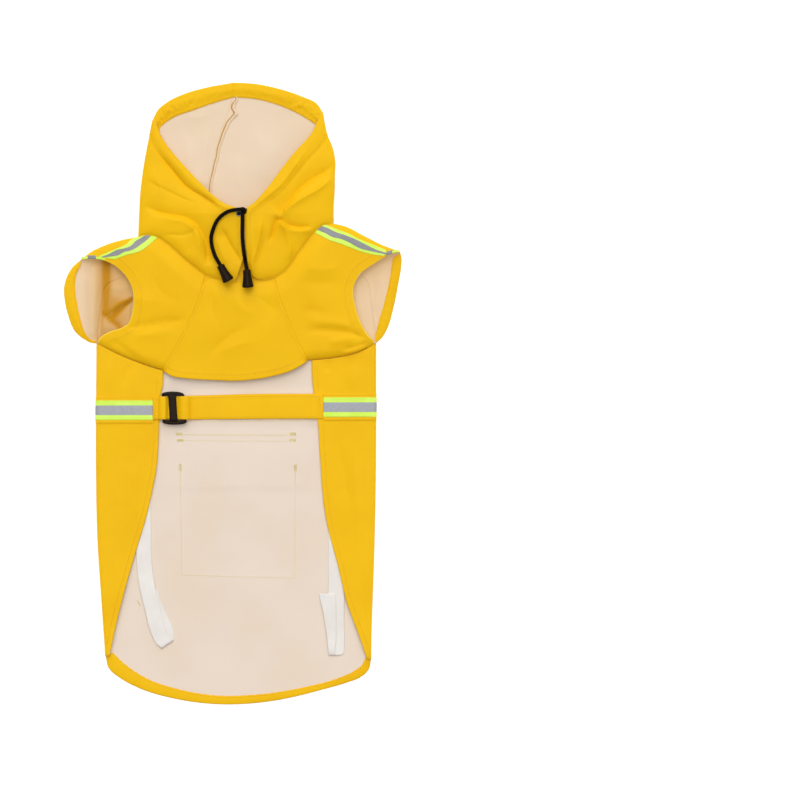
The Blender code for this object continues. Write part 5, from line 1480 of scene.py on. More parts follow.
shoulders = {}
for s, name in (("l", "left"), ("r", "right")):
    pts, t_out, t_in = shoulder(s)
    shoulders[s] = pts
    # the last face row along the leg opening's rim takes the painted highlight
    highlight_faces = np.zeros((pts.shape[0] - 1, pts.shape[1] - 1), int)
    highlight_faces[-1, :44 + len(S_CURL) - 1] = 3
    cloth("shoulder_" + name, pts, [yellow, cream, yellow_painted_highlight, yellow_painted_highlight],
          ["shoulder_" + name], t_out, t_in, up_at=30 * pts.shape[1] + 20,
          outer_mat=highlight_faces.ravel())
    # painted shade and painted glow inside the sleeve
    warmth(PIECES["shoulder_" + name], in_sleeves)
    quiet_edges(PIECES["shoulder_" + name], L["backseam_" + s])


# ---------------------------------------------------------------- back panel with its side flaps
def raised_low(x, y):
    """Height of the floor layer over the band, the pocket and its flap beneath it."""
    band = smooth((TAPE_W / 2 + 12.0 - np.abs(y - tape_middle(x))) / 8.0)
    wide = smooth((88.0 - np.abs(x - 2.0)) / 21.0)
    flap = wide * smooth((POCKET_FLAP["top"] + 14 - y) / 14.0) * smooth(
        (y - POCKET_FLAP["bottom"] + 9.5) / 9.0)
    bag = wide * smooth((POCKET["top"] + 14 - y) / 14.0) * smooth((y - POCKET["bottom"] + 34) / 34.0)
    return np.maximum(1.15 * band, LAYER * flap) + LAYER * bag


TAIL_SHARE = ((-272.5, 1.0), (-258, 0.84), (-243, 0.62), (-228, 0.38), (-215, 0.16), (-203.5, 0))
UNDER_SHARE = ((0.6, 0), (26.0, 0.55), (51.6, 1.0))
FLAP_N, FLOOR_N = 40, 96
FLAP_HEM = 6.2
edge_near = {s: poly(L["edge_" + s], 160) for s in "lr"}
tail_near = poly(L["tail"], 160)
TAIL = L["tail"].at(np.linspace(0, 1, 300))
R_CURL = np.array((1.0, 0.72, 0.48, 0.28, 0.13, 0.03, 0.0))


def level(line, y):
    t = np.linspace(0, 1, 400)
    q = line.at(t)
    return line.at(np.array([np.interp(-y, -q[:, 1], t)]))[0]


def round_fold(flat, d, low=LOW):
    middle = LOW + BODY_FOLD / 2
    return middle + (flat - middle) * cap(d / BODY_FOLD_W)


def body_row(y, detail=True):
    """One section across the body: flap edge, fold, floor, fold, flap edge."""
    tail_share = np.interp(y, *np.array(TAIL_SHARE).T)
    under_share = np.interp(y, *np.array(UNDER_SHARE).T)
    if tail_share == 1.0:
        left, right = L["tail"].p[0], L["tail"].p[-1]
    else:
        left = level(L["fold_l"], y)
        right = level(L["fold_r"], y + (TAPE_Y[1] - TAPE_Y[0]) * smooth((60 - abs(y + 16)) / 40.0))
    ends = L["tail"].p[0], L["tail"].p[-1]

    def flap(s, end, sign):
        edge, under = L["edge_" + s], L["under_" + s]
        q = under.at(np.linspace(0, 1, 80))
        q = q[np.argsort(q[:, 0])]
        drop = under_share * (end[1] - np.interp(under.p[0][0], q[:, 0], q[:, 1]))
        e = level(edge, np.clip(end[1] - drop, -275.9, min(under.p[0][1], edge.p[0][1])))
        curl_x = end[0] + sign * BODY_FOLD_W
        x = np.r_[np.linspace(e[0], curl_x, FLAP_N), end[0] + sign * BODY_FOLD_W * R_CURL[1:]]
        seam = np.interp(x, q[:, 0], q[:, 1]) - under.p[-1][1]
        yy = end[1] + under_share * seam - (0.25 if under_share == 1.0 else 0)
        top = flap_height(x, yy)
        if detail:
            calm = smooth((60 - yy + seam * 0) / 8.0)
            top = top + flap_folds(x, yy) + 0.30 * drift(x, yy, 5.0, 105.0) * calm
            d, along = edge_near[s].near(x, yy)
            top = top + pucker(d, along, 6.0, 4.0 + (s == "r"), 0.16, 15.0)
            du = L["under_" + s].distance(x, yy)
            top = top - 0.15 * np.exp(-(du / 2.0) ** 2)
        return np.column_stack([x, yy, round_fold(top, np.abs(x - end[0]))])

    a, b = flap("l", left, 1), flap("r", right, -1)
    x = np.r_[left[0] + BODY_FOLD_W * R_CURL[::-1][1:-1],
              np.linspace(left[0] + BODY_FOLD_W, right[0] - BODY_FOLD_W, FLOOR_N),
              right[0] - BODY_FOLD_W * R_CURL[1:-1]]
    f = (x - left[0]) / (right[0] - left[0])
    k = (x - ends[0][0]) / (ends[1][0] - ends[0][0])
    curve = np.interp(x, TAIL[:, 0], TAIL[:, 1]) - (ends[0][1] + (ends[1][1] - ends[0][1]) * k)
    yy = left[1] + (right[1] - left[1]) * f + tail_share * curve
    low = LOW + raised_low(x, yy)
    if detail:
        dt = tail_near.near(x, yy)[0]
        low = low + (panel_folds(x, yy) + 0.22 * (1 + drift(x, yy, 6.0, 120.0))) * smooth(dt / 18.0)
    mid = np.column_stack([x, yy, round_fold(low, np.minimum(x - left[0], right[0] - x))])
    return np.vstack([a, mid, b[::-1]])


stations = np.linspace(-272.5, 51.6, 176)
body = np.array([body_row(y) for y in stations])
n_rows, n_cols = body.shape[:2]
first = FLAP_N + len(R_CURL) - 2
last = n_cols - 1 - first
verts = [body.reshape(-1, 3)]
faces = [grid(n_rows, n_cols)]
# from the side folds' top end up to the neck the panel is one floor layer
base = body[-1, first:last + 1]
n = len(base)
top_line = Chain(Stretch(L["backseam_l"], 2, 0), Stretch(L["neckback_l"], 2, 6),
                 Stretch(L["neckback_r"], 7, 2), Stretch(L["backseam_r"], 0, 2))
q = top_line.at(np.linspace(0, 1, 900))
order = np.argsort(q[:, 0], kind="stable")
previous = (n_rows - 1) * n_cols + np.arange(first, last + 1)
f = (base[:, 0] - base[0, 0]) / (base[-1, 0] - base[0, 0])
count = n_rows * n_cols
sleeve_seam = poly(L["backseam_l"], 120)
top_rows = []
for k in np.linspace(0, 1, 44)[1:]:
    sides = []
    for line, back in ((L["backseam_l"], 0.14), (L["backseam_r"], -0.14)):
        p = line.at(np.array([1 + (line.s[2] - 1) * k]))[0]
        sides.append((p[0] + back, p[1]))
    x = sides[0][0] + (sides[1][0] - sides[0][0]) * f
    seam = np.interp(x, q[order, 0], q[order, 1]) - 0.35
    side_y = sides[0][1] + (sides[1][1] - sides[0][1]) * f
    x1 = q[0, 0] + 0.3 + (q[-1, 0] - q[0, 0] - 0.6) * f
    goal = np.interp(x1, q[order, 0], q[order, 1]) - 0.35
    y = base[:, 1] + (goal - base[:, 1]) * k
    y[0], y[-1] = side_y[0], side_y[-1]
    y = np.minimum(y, seam) if k > 0.97 else y
    z = LOW + (base[:, 2] - LOW) * (1 - smooth(k / 0.25))
    z = z + (panel_folds(x, y) + 0.22 * (1 + drift(x, y, 6.0, 120.0))) * smooth(k / 0.1) * smooth(
        (1 - k) / 0.2)
    # inside the left sleeve it stands up in folds beside the seam
    stands = smooth((-104.0 - x) / 6.0) * smooth((y - 60.0) / 9.0) * smooth(sleeve_seam.near(x, y)[0] / 5.0)
    z = z + stands * np.maximum(1.5 + sleeve_folds(x, y), 0.0)
    row = np.column_stack([x, y, z])
    top_rows.append(row)
    index = count + np.arange(n)
    verts.append(row)
    faces.append(np.stack([previous[:-1], previous[1:], index[1:], index[:-1]], 1))
    previous = index
    count += n
v = np.concatenate(verts)
faces = np.concatenate(faces)
de = np.minimum(edge_near["l"].near(v[:, 0], v[:, 1])[0], edge_near["r"].near(v[:, 0], v[:, 1])[0])
dt = tail_near.near(v[:, 0], v[:, 1])[0]
on_flap = np.zeros(len(v), bool)
columns = np.tile(np.arange(n_cols), n_rows)
on_flap[:n_rows * n_cols] = (columns < FLAP_N) | (columns >= n_cols - FLAP_N)
extra = np.where(on_flap, 0.5 * hem(de, FLAP_HEM, 0.45, 0.30), 0.5 * hem(dt, 9.0, 0.3, 0.2))
t = CLOTH_T / 2 + np.maximum(extra, -0.12)
out = np.where(on_flap, t, np.minimum(t, LOW - 0.02))
panel = shell("back_panel", v, faces, [yellow, cream, yellow_hem], out, t,
              up_at=100 * n_cols + 10)
SHEETS["back_panel"] = (panel, area_of(body) + area_of(np.array([base] + top_rows)))
ride(panel, "coated_cloth", "back_panel")
# painted shade and painted glow where the panel shows inside the sleeves
warmth(panel, in_sleeves)
quiet_edges(panel, L["backseam_l"], L["backseam_r"])

# ---------------------------------------------------------------- chest bib
BIB_NECK = Line(((-30.5, 122), (-22, 119.5), (-12.5, 117.5), (-3, 118), (4, 129), (11, 141),
                 (18, 132), (25, 120), (31.5, 117.3), (41.5, 119.5)))
hem_line = poly(L["bib_hem"], 140)
v_rows = np.linspace(0, 1, 78)
u = np.tile(np.linspace(0, 1, 96), (len(v_rows), 1))
xy = patch(BIB_NECK, L["bib_hem"], L["raglan_l"], L["raglan_r"], u, v_rows)
xy = drawn_in(xy, 0.12, 0.12, 0.0, 0.15)
x, y = xy[..., 0], xy[..., 1]
z = chest_upper(x, np.minimum(y, 114.5)) - 1.4 * smooth((y - 110) / 8.0)
dr = np.minimum(L["raglan_l"].distance(x, y), L["raglan_r"].distance(x, y))
z = z + 0.22 * np.exp(-((dr - 2.2) / 1.5) ** 2) - 0.26 * np.exp(-(dr / 0.9) ** 2)
d, along = hem_line.near(x, y)
z = z + pucker(d, along, 7.0, 6.0, 0.20, 13.0)
extra = 0.5 * hem(d, 7.5, 0.5, 0.3)
t = CLOTH_T / 2 + np.maximum(extra, -0.12)
cloth("chest_bib", np.dstack([xy, z]), [yellow, cream, yellow_hem], ["chest_bib"], t, t,
      up_at=40 * 96 + 40)

# ---------------------------------------------------------------- turned hem along the tail
t = np.linspace(0.006, 0.994, 260)
a, b = L["tail"].at(t), L["tail_hem"].at(t)
k = np.linspace(0, 1, 9)[:, None, None]
xy = a + (b - a) * k + (b - a) / np.linalg.norm(b - a, axis=1)[:, None] * 0.3 * (1 - k)
x, y = xy[..., 0], xy[..., 1]
d, along = tail_near.near(x, y)
w = np.linalg.norm(b - a, axis=1)[None, :]
z = LOW + LAYER + 0.1 + 0.5 * np.sin(np.pi * np.clip(d / w, 0, 1)) * (1 + 0.3 * uneven(along, 2.0, 1 / 12.0))
for line in (L["fold_l"], L["fold_r"]):
    z = z + (BODY_FOLD / 2) * (1 - cap(line.distance(x, y) / BODY_FOLD_W))
xy = xy + ((b - a) / w[0][:, None])[None] * (0.35 * uneven(along, 5.0, 1 / 8.0))[..., None] * k
cloth("tail_hem", np.dstack([xy, z]), [yellow_hem, yellow_hem, yellow_hem], ["tail_hem"], up_at=100)


# ---------------------------------------------------------------- trim of the sleeves
EDGES = dict(  # reflective tape: its four edges, from the hood to the leg opening
    l=(((-97.9, 162.2), (-104.9, 160.6), (-112.7, 154.0), (-121.9, 149.7), (-133.5, 144.9),
        (-141.3, 141.4)),
       ((-90.8, 165.0), (-97.0, 161.0), (-102.9, 157.4), (-106.9, 153.0), (-114.4, 149.9),
        (-121.9, 148.3), (-130.2, 144.0), (-138.4, 141.1)),
       ((-85.4, 164.6), (-90.4, 159.0), (-97.0, 154.0), (-102.9, 149.9), (-108.6, 147.4),
        (-114.4, 146.1), (-120.2, 142.8), (-126.9, 141.5), (-135.2, 140.6)),
       ((-78.4, 163.4), (-82.9, 158.8), (-88.5, 153.6), (-93.8, 149.4), (-98.9, 146.7),
        (-104.0, 145.0), (-109.4, 143.8), (-116.9, 141.5), (-123.6, 138.9), (-130.2, 139.4))),
    r=(((88.6, 175.8), (97.1, 173.5), (106.1, 169.9), (117.7, 165.5), (128.4, 160.1),
        (139.3, 155.6), (148.2, 151.9), (157.1, 148.4)),
       ((87.8, 173.9), (96.3, 171.3), (105.2, 166.8), (116.0, 163.2), (124.9, 159.6),
        (135.6, 154.2), (145.5, 149.3), (157.1, 145.3)),
       ((85.1, 169.4), (93.6, 165.9), (101.6, 161.6), (110.6, 159.6), (119.5, 155.6),
        (130.3, 149.8), (141.0, 147.1), (156.2, 143.7)),
       ((82.4, 166.8), (90.9, 162.5), (99.8, 158.1), (109.7, 154.9), (121.4, 150.4),
        (133.8, 145.9), (144.6, 143.5), (154.4, 142.3))),
)
MOUTH_END = dict(l=((-134.0, -143.6), (-143.6, -152.4), (-152.4, -159.0)),
                 r=((157.2, 163.6), (163.6, 170.4)))
MOUTH_GREY = dict(l=1, r=0)

for s, name in (("l", "left"), ("r", "right")):
    top = surface_of(PIECES["shoulder_" + name])

    def lay(xy, lift):
        """Points laid on the shoulder from above; a miss takes its neighbour's height."""
        flat = xy.reshape(-1, 2)
        z = np.full(len(flat), np.nan)
        for i, (px, py) in enumerate(flat):
            hit = top(px, py, 1.0)
            if hit is not None and hit[0] > 3.0:
                z[i] = hit[0]
        z = z.reshape(xy.shape[:2])
        for row in z:
            good = ~np.isnan(row)
            if good.any():
                row[~good] = np.interp(np.flatnonzero(~good), np.flatnonzero(good), row[good])
        for col in z.T:
            good = ~np.isnan(col)
            if good.any():
                col[~good] = np.interp(np.flatnonzero(~good), np.flatnonzero(good), col[good])
        return np.dstack([xy, z + lift])

    edges = [Line(e) for e in EDGES[s]]
    t = np.linspace(0, 1, 76)
    e = [line.at(t) for line in edges]
    cuts = (0, 6, 18, 24)
    rows = np.zeros((len(t), 25, 2))
    for k in range(3):
        for i in range(cuts[k], cuts[k + 1] + 1):
            f = (i - cuts[k]) / (cuts[k + 1] - cuts[k])
            rows[:, i] = e[k] * (1 - f) + e[k + 1] * f
    on = lay(rows, 0.42)
    on[:, [6, 18], 2] -= 0.10
    colour = np.tile(np.array([0 if (i < 6 or i >= 18) else 1 for i in range(24)]), len(t) - 1)
    piece = [on.reshape(-1, 3), grid(len(t), 25), colour]
    # the tape's turned end, along the rim of the leg opening
    rim = L["near_" + s].at(np.linspace(0, 1, 1200))
    verts, faces, mats = [piece[0]], [piece[1]], [piece[2]]
    count = len(piece[0])
    for k, (x0, x1) in enumerate(MOUTH_END[s]):
        at = np.linspace(x0, x1, 14)
        part = rim[rim[:, 1] > 120]
        order = np.argsort(part[:, 0])
        y = np.interp(at, part[order, 0], part[order, 1])
        tall = 1.0 if k == MOUTH_GREY[s] else 0.62
        band_ = np.array([[(a, b + w * tall) for w in (-0.15, 1.1, 2.3, 3.5)] for a, b in zip(at, y)])
        laid_ = lay(band_, 0.50)
        laid_[:, 0, 2] -= 0.35
        verts.append(laid_.reshape(-1, 3))
        faces.append(grid(14, 4) + count)
        mats.append(np.full(13 * 3, 1 if k == MOUTH_GREY[s] else 0))
        count += 14 * 4
    v, f, m = np.concatenate(verts), np.concatenate(faces), np.concatenate(mats)
    n = vertex_normals(v, f)
    flip = n[:, 2][f].mean(1) < 0
    f[flip] = f[flip][:, ::-1]
    obj = shell("tape_shoulder_" + name, v, f, [lime, grey_painted_shade, lime], np.full(len(v), 0.15),
                np.full(len(v), 0.15), up_at=12 * 25 + 12, outer_mat=m, inner_mat=m)
    SHEETS["tape_shoulder_" + name] = (obj, area_of(on))
    ride(obj, "reflective_tape", "tape_shoulder_" + name)

# turned hem inside each leg opening
CUFF_INNER = {}
for s, name in (("l", "left"), ("r", "right")):
    foot = L["far_" + s].p[0] + np.array([0.9 if s == "l" else -0.9, 2.0])
    CUFF_INNER[s] = Line((tuple(foot),) + tuple(map(tuple, L["cuff_hem_" + s].p)))
    t = np.linspace(0.012, 0.985, 120)
    a, b = L["far_" + s].at(t), CUFF_INNER[s].at(t)
    k = np.linspace(0, 1, 11)[:, None, None]
    width = np.maximum(np.linalg.norm(b - a, axis=1)[:, None], 0.5)
    xy = a + (b - a) * k + (b - a) / width * 0.3 * (1 - k)
    x, y = xy[..., 0], xy[..., 1]
    df, along = far_edge[s].near(x, y)
    mouth = smooth((y - 58) / 14.0) * smooth((128 - y) / 12.0)
    z = LOW + LAYER + 0.15 + 0.6 * smooth(df / 10.0) * mouth
    z = z + 0.95 * np.sin(np.pi * np.clip(df / 9.5, 0, 1)) + 0.14 * uneven(along, 3.0, 1 / 9.0)
    # towards the shoulder it climbs with the fold
    climb = 1 - cap(L["top_" + s].distance(x, y) / HOOD_FOLD_W)
    z = z + 4.6 * climb * smooth((y - 118) / 16.0)
    cloth("cuff_hem_" + name, np.dstack([xy, z]), [yellow_hem, yellow_hem, yellow_painted_highlight],
          ["cuff_hem_" + name], np.full(x.shape, 0.34), np.full(x.shape, 0.30), up_at=30)

# ---------------------------------------------------------------- band round the body
TAPE_ENDS = (BELT_X[0] - 0.5, BELT_X[1] + 0.5)


def band(width, offset, n_across, n_along=360):
    """A strip that follows the body's own sections, moved out, from flap to flap."""
    rows = []
    for o in np.linspace(-width / 2, width / 2, n_across):
        sec = body_row(TAPE_Y[0] + o)
        xz = sec[:, [0, 2]]
        step = np.gradient(xz, axis=0)
        n = np.stack([step[:, 1], -step[:, 0]], -1)
        n /= np.maximum(np.linalg.norm(n, axis=1), 1e-9)[:, None]
        if n[len(n) // 2, 1] > 0:
            n = -n
        out = np.column_stack([xz[:, 0] + n[:, 0] * offset, sec[:, 1], xz[:, 1] + n[:, 1] * offset])
        s = np.r_[0, np.cumsum(np.linalg.norm(np.diff(out, axis=0), axis=1))]
        half = len(out) // 2
        left = np.interp(-TAPE_ENDS[0], -out[:FLAP_N, 0], s[:FLAP_N])
        right = np.interp(-TAPE_ENDS[1], -out[-FLAP_N:, 0][::1], s[-FLAP_N:])
        at = np.linspace(left, right, n_along)
        rows.append(np.column_stack([np.interp(at, s, out[:, k]) for k in range(3)]))
    pts = np.array(rows)
    pts[..., 2] = np.maximum(pts[..., 2], 0.22)
    return pts


strip = band(28.0, CLOTH_T / 2 + 0.20, 15)
strip_obj = cloth("tape_body_backing", strip, [yellow, yellow, yellow_hem], [],
                  np.full(strip.shape[:2], 0.17), np.full(strip.shape[:2], 0.17), up_at=7 * 360 + 20)
tape = band(TAPE_W, CLOTH_T / 2 + 0.56, 25)
tape[[6, 18], :, 2] -= 0.0
lime_rows = np.repeat([0 if (i < 6 or i >= 18) else 1 for i in range(24)], 359)
reach = np.full(tape.shape[:2], 0.16)
reach[[6, 18]] = 0.06
cloth("tape_body", tape, [lime, grey, lime], ["tape_body"], reach, np.full(tape.shape[:2], 0.16),
      up_at=12 * 360 + 20, outer_mat=lime_rows, inner_mat=np.zeros(len(lime_rows), int),
      slot_name="reflective_tape")

# ---------------------------------------------------------------- pocket and flap, underneath
def flat_cloth(name, box, heights, z_of, hem_w, sides="lrbt"):
    nx, ny = 70, max(24, int((box["top"] - box["bottom"]) / 2.2))
    xs = np.linspace(box["x0"], box["x1"], nx)
    ys = np.linspace(box["bottom"], box["top"], ny)
    x, y = np.meshgrid(xs, ys)
    r = 3.0
    z = z_of(x, y)
    d = np.minimum(np.minimum(x - box["x0"], box["x1"] - x), np.minimum(y - box["bottom"],
                                                                        box["top"] - y))
    extra = 0.5 * hem(d, hem_w, 0.25, 0.2)
    t = 0.20 + np.maximum(extra, -0.06)
    out = np.minimum(t, z - 0.02)
    cloth(name, np.dstack([x, y, z]), [yellow, cream, yellow_hem], [name], t, out, up_at=40)


flat_cloth("pocket_flap", POCKET_FLAP, None, lambda x, y: 0.30 + 0 * x, 3.0)
flat_cloth("pocket", POCKET, None,
           lambda x, y: 0.30 + LAYER * smooth((y + 103.5) / 7.0), 3.0)

# ---------------------------------------------------------------- belly strap
t = np.linspace(0, 1, 300)
path = Line(BELT_PATH).at(t)
k = np.linspace(0, 1, 21)
low_y = -27.3 + 1.0 * smooth((path[:, 0] + 86) / 150.0)
high_y = -4.0 + 2.7 * smooth((path[:, 0] + 86) / 130.0)
pull_in = 0.7 * np.exp(-((path[:, 0] + 64.5) / 9.0) ** 2)       # gathered in the slide
low_y, high_y = low_y + pull_in, high_y - pull_in
pts = np.zeros((len(t), len(k), 3))
pts[..., 0] = path[:, :1]
pts[..., 1] = low_y[:, None] + (high_y - low_y)[:, None] * k
pts[..., 2] = path[:, 1:2] - 0.05
open_part = smooth((path[:, 0] + 44) / 20.0) * smooth((86 - path[:, 0]) / 18.0)
pts[..., 2] += (0.35 * open_part * uneven(path[:, 0], 2.0, 1 / 60.0))[:, None] * (k - 0.5) * 2
pts[..., 2] += 0.35 * np.sin(np.pi * k) * open_part[:, None]
edge = np.minimum(k, 1 - k) * 24.0
thick = 0.62 + 0.18 * smooth(edge / 1.2) - 0.16 * np.exp(-((edge - 2.0) / 0.6) ** 2)
thick = np.tile(thick, (len(t), 1))
belt = cloth("belt", pts, [yellow, yellow, yellow_hem], ["belt"], thick, thick,
             up_at=260 * 21 + 10)

# ---------------------------------------------------------------- three-bar slide
def bar_mesh(rows, n=20, power=3.0):
    """Rounded bars: centre (x, y, z), half width, half height and direction of the width."""
    rows = np.array(rows, float)
    a = np.arange(n) * 2 * np.pi / n
    ca = np.sign(np.cos(a)) * np.abs(np.cos(a)) ** (2 / power)
    sa = np.sign(np.sin(a)) * np.abs(np.sin(a)) ** (2 / power)
    v = []
    for x, y, z, w, h, ang in rows:
        side = np.array([math.cos(math.radians(ang)), math.sin(math.radians(ang)), 0])
        v.append(np.array([x, y, z]) + side * w * ca[:, None] + np.array([0, 0, 1.0]) * h * sa[:, None])
    v = np.concatenate(v)
    f = []
    for j in range(len(rows) - 1):
        for i in range(n):
            k2 = (i + 1) % n
            f.append((j * n + i, j * n + k2, (j + 1) * n + k2, (j + 1) * n + i))
    f.append(tuple(range(n))[::-1])
    f.append(tuple((len(rows) - 1) * n + i for i in range(n)))
    return v, f


def joined(name, parts, mats, slot_name, *nodes):
    v, f, n = [], [], 0
    for pv, pf in parts:
        v.append(pv)
        f += [tuple(i + n for i in q) for q in pf]
        n += len(pv)
    obj = mesh_piece(name, np.concatenate(v), f, mats)
    bm = bmesh.new()
    bm.from_mesh(obj.data)
    bmesh.ops.recalc_face_normals(bm, faces=bm.faces)
    bm.to_mesh(obj.data)
    bm.free()
    return ride(obj, slot_name, *nodes)


def rail(x0, x1, y, half, z, high, bow):
    rows = []
    for s_ in np.linspace(0, 1, 25):
        e = math.sqrt(max(0.0, 1 - abs(2 * s_ - 1) ** 4.0))
        rows.append((x0 + (x1 - x0) * s_, y - bow * (2 * s_ - 1) ** 2, z, half * (0.30 + 0.70 * e),
                     high * (0.45 + 0.55 * e), 90))
    return bar_mesh(rows)


def cross_bar(xa, xb, ya, yb, half, z, high, n=11):
    rows = []
    for s_ in np.linspace(0, 1, n):
        flare = 1 + 0.14 * (2 * s_ - 1) ** 6
        rows.append((xa + (xb - xa) * s_, ya + (yb - ya) * s_, z, half * flare, high, 0))
    return bar_mesh(rows, power=3.4)


slide = [rail(-75.8, -53.0, -0.6, 2.15, 6.0, 1.25, 1.1),
         rail(-75.0, -49.8, -30.6, 2.35, 6.0, 1.25, -1.1),
         cross_bar(-65.1, -63.3, -1.2, -30.0, 4.05, 6.35, 1.15),
         cross_bar(-74.4, -73.6, -1.6, -29.6, 1.25, 5.55, 0.95),
         cross_bar(-53.6, -51.6, -1.6, -29.6, 1.25, 5.55, 0.95)]
joined("triglide", slide, [black], "black_plastic", "triglide")

# ---------------------------------------------------------------- elastic leg loops
def elastic_loop(name, rows, seed):
    path = Line(rows)
    n = int(path.length / 1.5)
    p = path.at(np.linspace(0, 1, n))
    m = 46
    w = np.linspace(-1, 1, m)
    a = np.radians(p[:, 3])
    half = p[:, 4] * (1 + 0.015 * uneven(np.arange(n) * 1.1, seed, 1 / 30.0))
    pts = np.zeros((n, m, 3))
    pts[..., 0] = p[:, :1] + (half * np.cos(a))[:, None] * w
    pts[..., 1] = p[:, 1:2] + (half * np.sin(a))[:, None] * w
    pts[..., 2] = p[:, 2:3] + 0.10 * uneven(np.arange(n) * 1.1, seed + 1, 1 / 42.0)[:, None] * w
    rib = 0.34 + 0.075 * np.cos(2 * np.pi * w * 5.5) - 0.10 * smooth((np.abs(w) - 0.93) / 0.07)
    t = np.tile(rib, (n, 1))
    obj = cloth(name, pts, [elastic, elastic, elastic], [name], t, t, up_at=20, slot_name="elastic")
    return obj


# x, y, z, degrees, half width: the lower turns as they lie, one strand a little off the other
LOOP_ROWS_L = (
    (-95.5, -112.0, 1.7, 0, 7.8), (-95.2, -138.0, 1.7, 1, 7.8), (-94.8, -163.0, 1.7, 3, 7.8),
    (-93.4, -186.0, 1.8, 8, 7.8), (-91.0, -201.0, 2.75, 13, 7.8), (-85.6, -224.0, 2.85, 20, 7.8),
    (-79.9, -246.0, 2.85, 27, 7.8), (-75.4, -256.0, 2.85, 31, 7.5), (-70.7, -260.6, 2.85, 34, 7.2),
    (-70.2, -261.6, 2.28, 34, 7.2), (-69.9, -260.2, 1.7, 32, 7.3), (-70.6, -251.6, 1.7, 21, 7.7),
    (-73.8, -242.5, 1.7, 20, 7.8), (-77.9, -233.5, 1.7, 24, 7.8), (-84.3, -219.0, 1.7, 23, 7.8),
    (-88.5, -206.0, 1.7, 18, 7.8),
)
LOOP_ROWS_R = (
    (105.4, -112.0, 1.7, 0, 8.0), (105.3, -150.0, 1.7, 0, 8.0), (105.3, -190.0, 1.7, 0, 8.0),
    (105.3, -230.0, 1.7, 0, 8.0), (105.3, -268.0, 1.7, 0, 7.9), (105.1, -270.9, 1.75, 0, 7.8),
    (101.6, -272.2, 2.28, 0, 4.1), (101.1, -270.6, 2.85, 0, 3.7), (100.6, -256.0, 2.85, 0, 4.4),
    (99.5, -240.0, 2.85, -1, 5.6), (98.2, -226.0, 2.85, -2, 6.8), (96.6, -213.5, 2.85, -2, 8.0),
    (95.9, -208.4, 2.85, -2, 8.1),
)
elastic_loop("leg_loop_left", LOOP_ROWS_L, 1.0)
elastic_loop("leg_loop_right", LOOP_ROWS_R, 2.0)

# ---------------------------------------------------------------- drawcord, stops and eyelet
hoods = surface_of(PIECES["hood_left"], PIECES["hood_right"])
STOP_ENDS = dict(  # narrow end and wide end
    left=((-13.4, 130.9, 18.9), (-5.2, 115.2, 17.3)),
    right=((13.2, 125.9, 18.6), (14.5, 107.4, 16.9)),
)
CORD_TAIL = dict(left=((10.6, 186.6), (11.2, 188.8)), right=((12.4, 189.2), (10.9, 188.8)))
CORD_FACTS = dict(left=0.090, right=0.073)
CORD_ROWS = dict(  # as they lie over the hood
    left=((10.4, 189.8), (2.5, 189.4), (-5.2, 187.8), (-11.5, 184.4), (-16.4, 179.8), (-21.0, 171.2),
          (-23.8, 161.4), (-22.9, 151.5), (-19.8, 142.0), (-14.6, 132.8)),
    right=((9.0, 187.6), (8.8, 176.0), (8.8, 159.0), (10.4, 143.0), (11.8, 134.0), (13.0, 128.2)),
)


def hood_top(x, y):
    best = -1e9
    for dx, dy in ((0, 0), (1.4, 0), (-1.4, 0), (0, 1.4), (0, -1.4)):
        hit = hoods(x + dx, y + dy, 1.0)
        if hit is not None:
            best = max(best, hit[0])
    return best


def cord_route(side):
    rows = np.array(CORD_ROWS[side])
    mouth, wide = (np.array(p) for p in STOP_ENDS[side])
    axis = (wide - mouth) / np.linalg.norm(wide - mouth)
    xy = Line(rows).at(np.linspace(0, 1, 25))
    z = np.array([hood_top(x, y) + CORD_D / 2 + 0.15 for x, y in xy])
    z[:4] = np.maximum(z[:4], z[4])             # it spans the notch between the two halves
    for _ in range(3):
        z[1:-1] = np.maximum(z[1:-1], (z[:-2] + z[2:]) / 2)
    rise = smooth((np.linspace(0, 1, 25) - 0.70) / 0.30)
    z = z + (mouth[2] - z) * rise
    over = 2.4 * np.exp(-(np.linspace(0, 1, 25) / 0.10) ** 2) if side == "left" else 0
    z = z + over
    pts = np.column_stack([xy, z])
    tail = CORD_TAIL[side]
    start = np.array([(*tail[0], z[0] - 4.6), (*tail[1], z[0] - 1.9)])
    pts = np.vstack([start, pts, pts[-1] + axis * 2.6])
    # smooth route through these points, evenly spaced
    s_ = np.r_[0, np.cumsum(np.linalg.norm(np.diff(pts, axis=0), axis=1))]
    line = Line(np.column_stack([pts[:, :2], pts[:, 2]]))
    fine = line.at(np.linspace(0, 1, 260))
    for _ in range(6):
        fine[1:-1] = (fine[:-2] + 2 * fine[1:-1] + fine[2:]) / 4
    return fine


def braided_tube(route, radius, n=32):
    t = np.gradient(route, axis=0)
    t /= np.linalg.norm(t, axis=1)[:, None]
    up = np.array([0, 0, 1.0])
    s_ = np.r_[0, np.cumsum(np.linalg.norm(np.diff(route, axis=0), axis=1))]
    v = []
    a = np.arange(n) * 2 * np.pi / n
    for p, d, l in zip(route, t, s_):
        side = np.cross(up, d)
        side /= np.linalg.norm(side)
        top = np.cross(d, side)
        weave = np.maximum(np.cos(8 * a + l * 2.6), np.cos(8 * a - l * 2.6))
        r = radius * (0.945 + 0.055 * weave)
        v.append(p + side * (r * np.cos(a))[:, None] + top * (r * np.sin(a))[:, None])
    m = len(route)
    f = [(j * n + i, j * n + (i + 1) % n, (j + 1) * n + (i + 1) % n, (j + 1) * n + i)
         for j in range(m - 1) for i in range(n)]
    f.append(tuple(range(n))[::-1])
    f.append(tuple((m - 1) * n + i for i in range(n)))
    return np.concatenate(v), f


